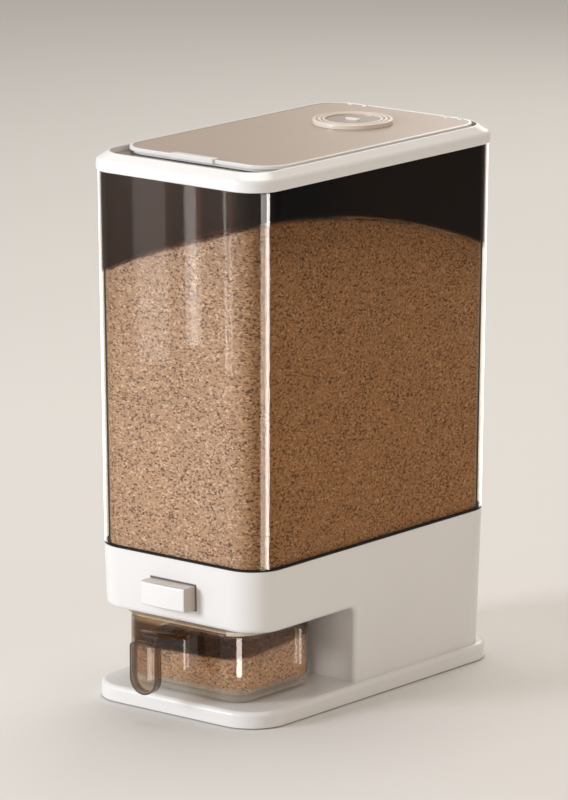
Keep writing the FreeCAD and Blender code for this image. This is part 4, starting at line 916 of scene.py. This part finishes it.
def strip_lights():
    """The narrow strips that show only as bright lines in the tank or the cup."""
    shown = {name: group("Shows strips: " + name, [NODES[name]]) for name in ("tank", "cup")}
    for name, place, look_at, width, height, power in STRIPS:
        look = Vector((look_at[0] - place[0], look_at[1] - place[1], 0.0))
        light = area_light(name, place, look, width, height, power, STRIP_SHADE)
        light.visible_camera = False
        light.visible_diffuse = False
        light.visible_transmission = False
        light.light_linking.receiver_collection = shown["cup" if place[2] < CUP_HIGH.z else "tank"]


def camera(scene):
    """The camera, at its place and turned to its target."""
    eye = bpy.data.cameras.new("Camera")
    eye.lens = LENS
    eye.sensor_width = SENSOR
    eye.clip_end = VIEW_END
    viewer = bpy.data.objects.new("Camera", eye)
    back = towards(VIEW_TURN, VIEW_RISE)
    viewer.location = VIEW_TARGET + back * VIEW_DISTANCE
    viewer.rotation_euler = facing(-back)
    scene.collection.objects.link(viewer)
    scene.camera = viewer


# --- Operators ------------------------------------------------------------------------


class DISPENSER_OT_white_pieces(bpy.types.Operator):
    """Finish the white moulded pieces of the stand and the button"""

    bl_idname = "dispenser.white_pieces"
    bl_label = "White pieces"

    def execute(self, context):
        shades = colours()
        inner = plastic("White inner parts", shades.inner, roughness=0.38, texture=0.04)
        cover(housing_material(), "housing")
        cover(plastic("White base", shades.housing, **HOUSING_GLOSS), "base_plate")
        cover(plastic("White cover", shades.inner, roughness=0.45, texture=0.06), "base_cover")
        cover(inner, "hopper", "gate", "gate_carrier")
        cover(button_material(), "push_button")
        return {"FINISHED"}


class DISPENSER_OT_lid_pieces(bpy.types.Operator):
    """Finish the lid ring, the flip panel, the dial and the drying basket"""

    bl_idname = "dispenser.lid_pieces"
    bl_label = "Lid pieces"

    def execute(self, context):
        shades = colours()
        sachet = {"roughness": 0.8, "texture": 0.6, "cell": 380.0}
        pieces = (
            # The lid ring's sunk floor: the panel's satin colour, darkened further as painted
            # shade.
            ("lid_ring", "White lid", shades.lid, 0.7, RING_SUNK_Z),
            ("date_dial", "White dial", shades.dial, 0.8, DIAL_SUNK_Z),
            ("dial_cap", "Satin cap", shades.lid, 0.85, CAP_SUNK_Z),
        )
        for node, name, shade, dim, sunk_z in pieces:
            cover(two_tone(name, shade, scaled(shades.panel, dim), sunk_z), node)
        cover(panel_material(), "lid_panel")
        basket = plastic("White basket", shades.inner, roughness=0.4, texture=0.04)
        cover(basket, "desiccant_basket")
        cover(plastic("Drying agent sachet", SACHET_WHITE, **sachet), "desiccant_pack")
        return {"FINISHED"}


class DISPENSER_OT_clear_pieces(bpy.types.Operator):
    """Finish the tank and the cup"""

    bl_idname = "dispenser.clear_pieces"
    bl_label = "Clear pieces"

    def execute(self, context):
        cover(tank_material(), "tank")
        cover(cup_material(), "cup")
        return {"FINISHED"}


class DISPENSER_OT_seals_and_feet(bpy.types.Operator):
    """Finish the seals and the rubber feet"""

    bl_idname = "dispenser.seals_and_feet"
    bl_label = "Seals and feet"

    def execute(self, context):
        cover(plastic("Dark seal", SEAL_BLACK, roughness=0.8, texture=0.12), "tank_gasket")
        cover(silicone_material(), "ring_gasket", "panel_gasket")
        cover(plastic("Rubber foot", RUBBER_GREY, roughness=0.7, texture=0.25), "base_feet")
        return {"FINISHED"}


class DISPENSER_OT_metal_pieces(bpy.types.Operator):
    """Finish the screws, pins and springs"""

    bl_idname = "dispenser.metal_pieces"
    bl_label = "Metal pieces"

    def execute(self, context):
        screw = metal("Zinc screw", ZINC, roughness=0.3, brushing=(1.0, 1.0, 6.0))
        cover(screw, "cover_screws", "housing_screws", "carrier_screws", "button_screws")
        pin = metal("Steel pin", STEEL, roughness=0.2, brushing=(0.2, 1.0, 1.0))
        cover(pin, "hinge_pins", "spring_pins")
        wire = metal("Spring wire", SPRING_STEEL, roughness=0.26, brushing=(1.0, 0.3, 1.0))
        cover(wire, "return_spring_left", "return_spring_right")
        return {"FINISHED"}


class DISPENSER_OT_tank_rice(bpy.types.Operator):
    """Fill the tank with rice"""

    bl_idname = "dispenser.tank_rice"
    bl_label = "Rice in the tank"

    def execute(self, context):
        gap = sizes().rice_gap
        half_x, half_y = tank_half(sizes().heap_top - HEAP_BELOW, gap)
        radius = TANK_CORNER - TANK_WALL - gap
        levels = (TANK_FOOT_Z, TANK_LOW.z + HEAP_END)
        walls = [(*tank_half(z, gap), radius, z) for z in levels]
        plan = (half_x, half_y, MIDDLE_Y, radius, heap_height)
        body = rice_body("rice_in_tank", *plan, walls)
        body.data.materials.append(rice_material("Packed rice"))
        grains = loose_grains("rice_grains_in_tank", TANK_GRAINS, *plan, seed=11)
        grains.data.materials.append(grain_material())
        for piece in (body, grains):
            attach(piece, "stand")
        return {"FINISHED"}


class DISPENSER_OT_cup_rice(bpy.types.Operator):
    """Put the dispensed rice in the cup"""

    bl_idname = "dispenser.cup_rice"
    bl_label = "Rice in the cup"

    def execute(self, context):
        gap = sizes().rice_gap
        wall = CUP_WALL + gap
        half_x = CUP_HALF_X - wall
        half_y = (CUP_BACK - CUP_FRONT) / 2 - wall
        radius = CUP_CORNER - wall
        bend = CUP_BOTTOM_ROUND - wall
        rings = []
        for step in range(CUP_BOTTOM_STEPS + 1):
            angle = math.radians(90.0 / CUP_BOTTOM_STEPS * step)
            inset = bend * (1 - math.cos(angle))
            ring_z = CUP_FLOOR_Z + gap + bend * (1 - math.sin(angle))
            rings.append((half_x - inset, half_y - inset, radius - inset, ring_z))
        plan = (half_x, half_y, (CUP_BACK + CUP_FRONT) / 2, radius, cup_height)
        body = rice_body("rice_in_cup", *plan, rings)
        body.data.materials.append(rice_material("Dispensed rice", CUP_RICE_SHADE))
        grains = loose_grains("rice_grains_in_cup", CUP_GRAINS, *plan, seed=5)
        grains.data.materials.append(bpy.data.materials["Rice grains"])
        for piece in (body, grains):
            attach(piece, "cup")
        return {"FINISHED"}


class DISPENSER_OT_stage(bpy.types.Operator):
    """Set the floor, the studio lights and the camera"""

    bl_idname = "dispenser.stage"
    bl_label = "Stage"

    def execute(self, context):
        bm = bmesh.new()
        bmesh.ops.create_grid(bm, x_segments=8, y_segments=8, size=FLOOR_HALF)
        floor = finished(bm, "studio_floor")
        floor.data.materials.append(floor_material())
        world = bpy.data.worlds.new("Studio")
        world.use_nodes = True
        background = world.node_tree.nodes["Background"]
        background.inputs["Color"].default_value = WORLD_SHADE
        background.inputs["Strength"].default_value = WORLD_STRENGTH
        context.scene.world = world
        context.scene.view_settings.view_transform = "Standard"
        soft_lights()
        strip_lights()
        camera(context.scene)
        return {"FINISHED"}


class DISPENSER_PT_sidebar(bpy.types.Panel):
    """Lists the settings and the steps that build the dispenser"""

    bl_idname = "DISPENSER_PT_sidebar"
    bl_label = "Rice dispenser"
    bl_space_type = "VIEW_3D"
    bl_region_type = "UI"
    bl_category = "Dispenser"

    def draw(self, context):
        layout = self.layout
        for settings in (context.scene.dispenser_colours, context.scene.dispenser_sizes):
            box = layout.box()
            for key in settings.__annotations__:
                box.prop(settings, key)
        for operator in OPERATORS:
            layout.operator(operator.bl_idname)


OPERATORS = (
    DISPENSER_OT_white_pieces,
    DISPENSER_OT_lid_pieces,
    DISPENSER_OT_clear_pieces,
    DISPENSER_OT_seals_and_feet,
    DISPENSER_OT_metal_pieces,
    DISPENSER_OT_tank_rice,
    DISPENSER_OT_cup_rice,
    DISPENSER_OT_stage,
)
CLASSES = (DispenserColours, DispenserSizes, *OPERATORS, DISPENSER_PT_sidebar)


def register():
    """Registers the classes and the scene's settings."""
    for cls in CLASSES:
        bpy.utils.register_class(cls)
    bpy.types.Scene.dispenser_colours = bpy.props.PointerProperty(type=DispenserColours)
    bpy.types.Scene.dispenser_sizes = bpy.props.PointerProperty(type=DispenserSizes)


def unregister():
    """Removes them again."""
    del bpy.types.Scene.dispenser_sizes
    del bpy.types.Scene.dispenser_colours
    for cls in reversed(CLASSES):
        bpy.utils.unregister_class(cls)


def main():
    """Builds the dispenser's finishes, its contents and the stage."""
    register()
    bpy.ops.dispenser.white_pieces()
    bpy.ops.dispenser.lid_pieces()
    bpy.ops.dispenser.clear_pieces()
    bpy.ops.dispenser.seals_and_feet()
    bpy.ops.dispenser.metal_pieces()
    bpy.ops.dispenser.tank_rice()
    bpy.ops.dispenser.cup_rice()
    bpy.ops.dispenser.stage()
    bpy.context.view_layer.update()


if __name__ == "__main__":
    main()
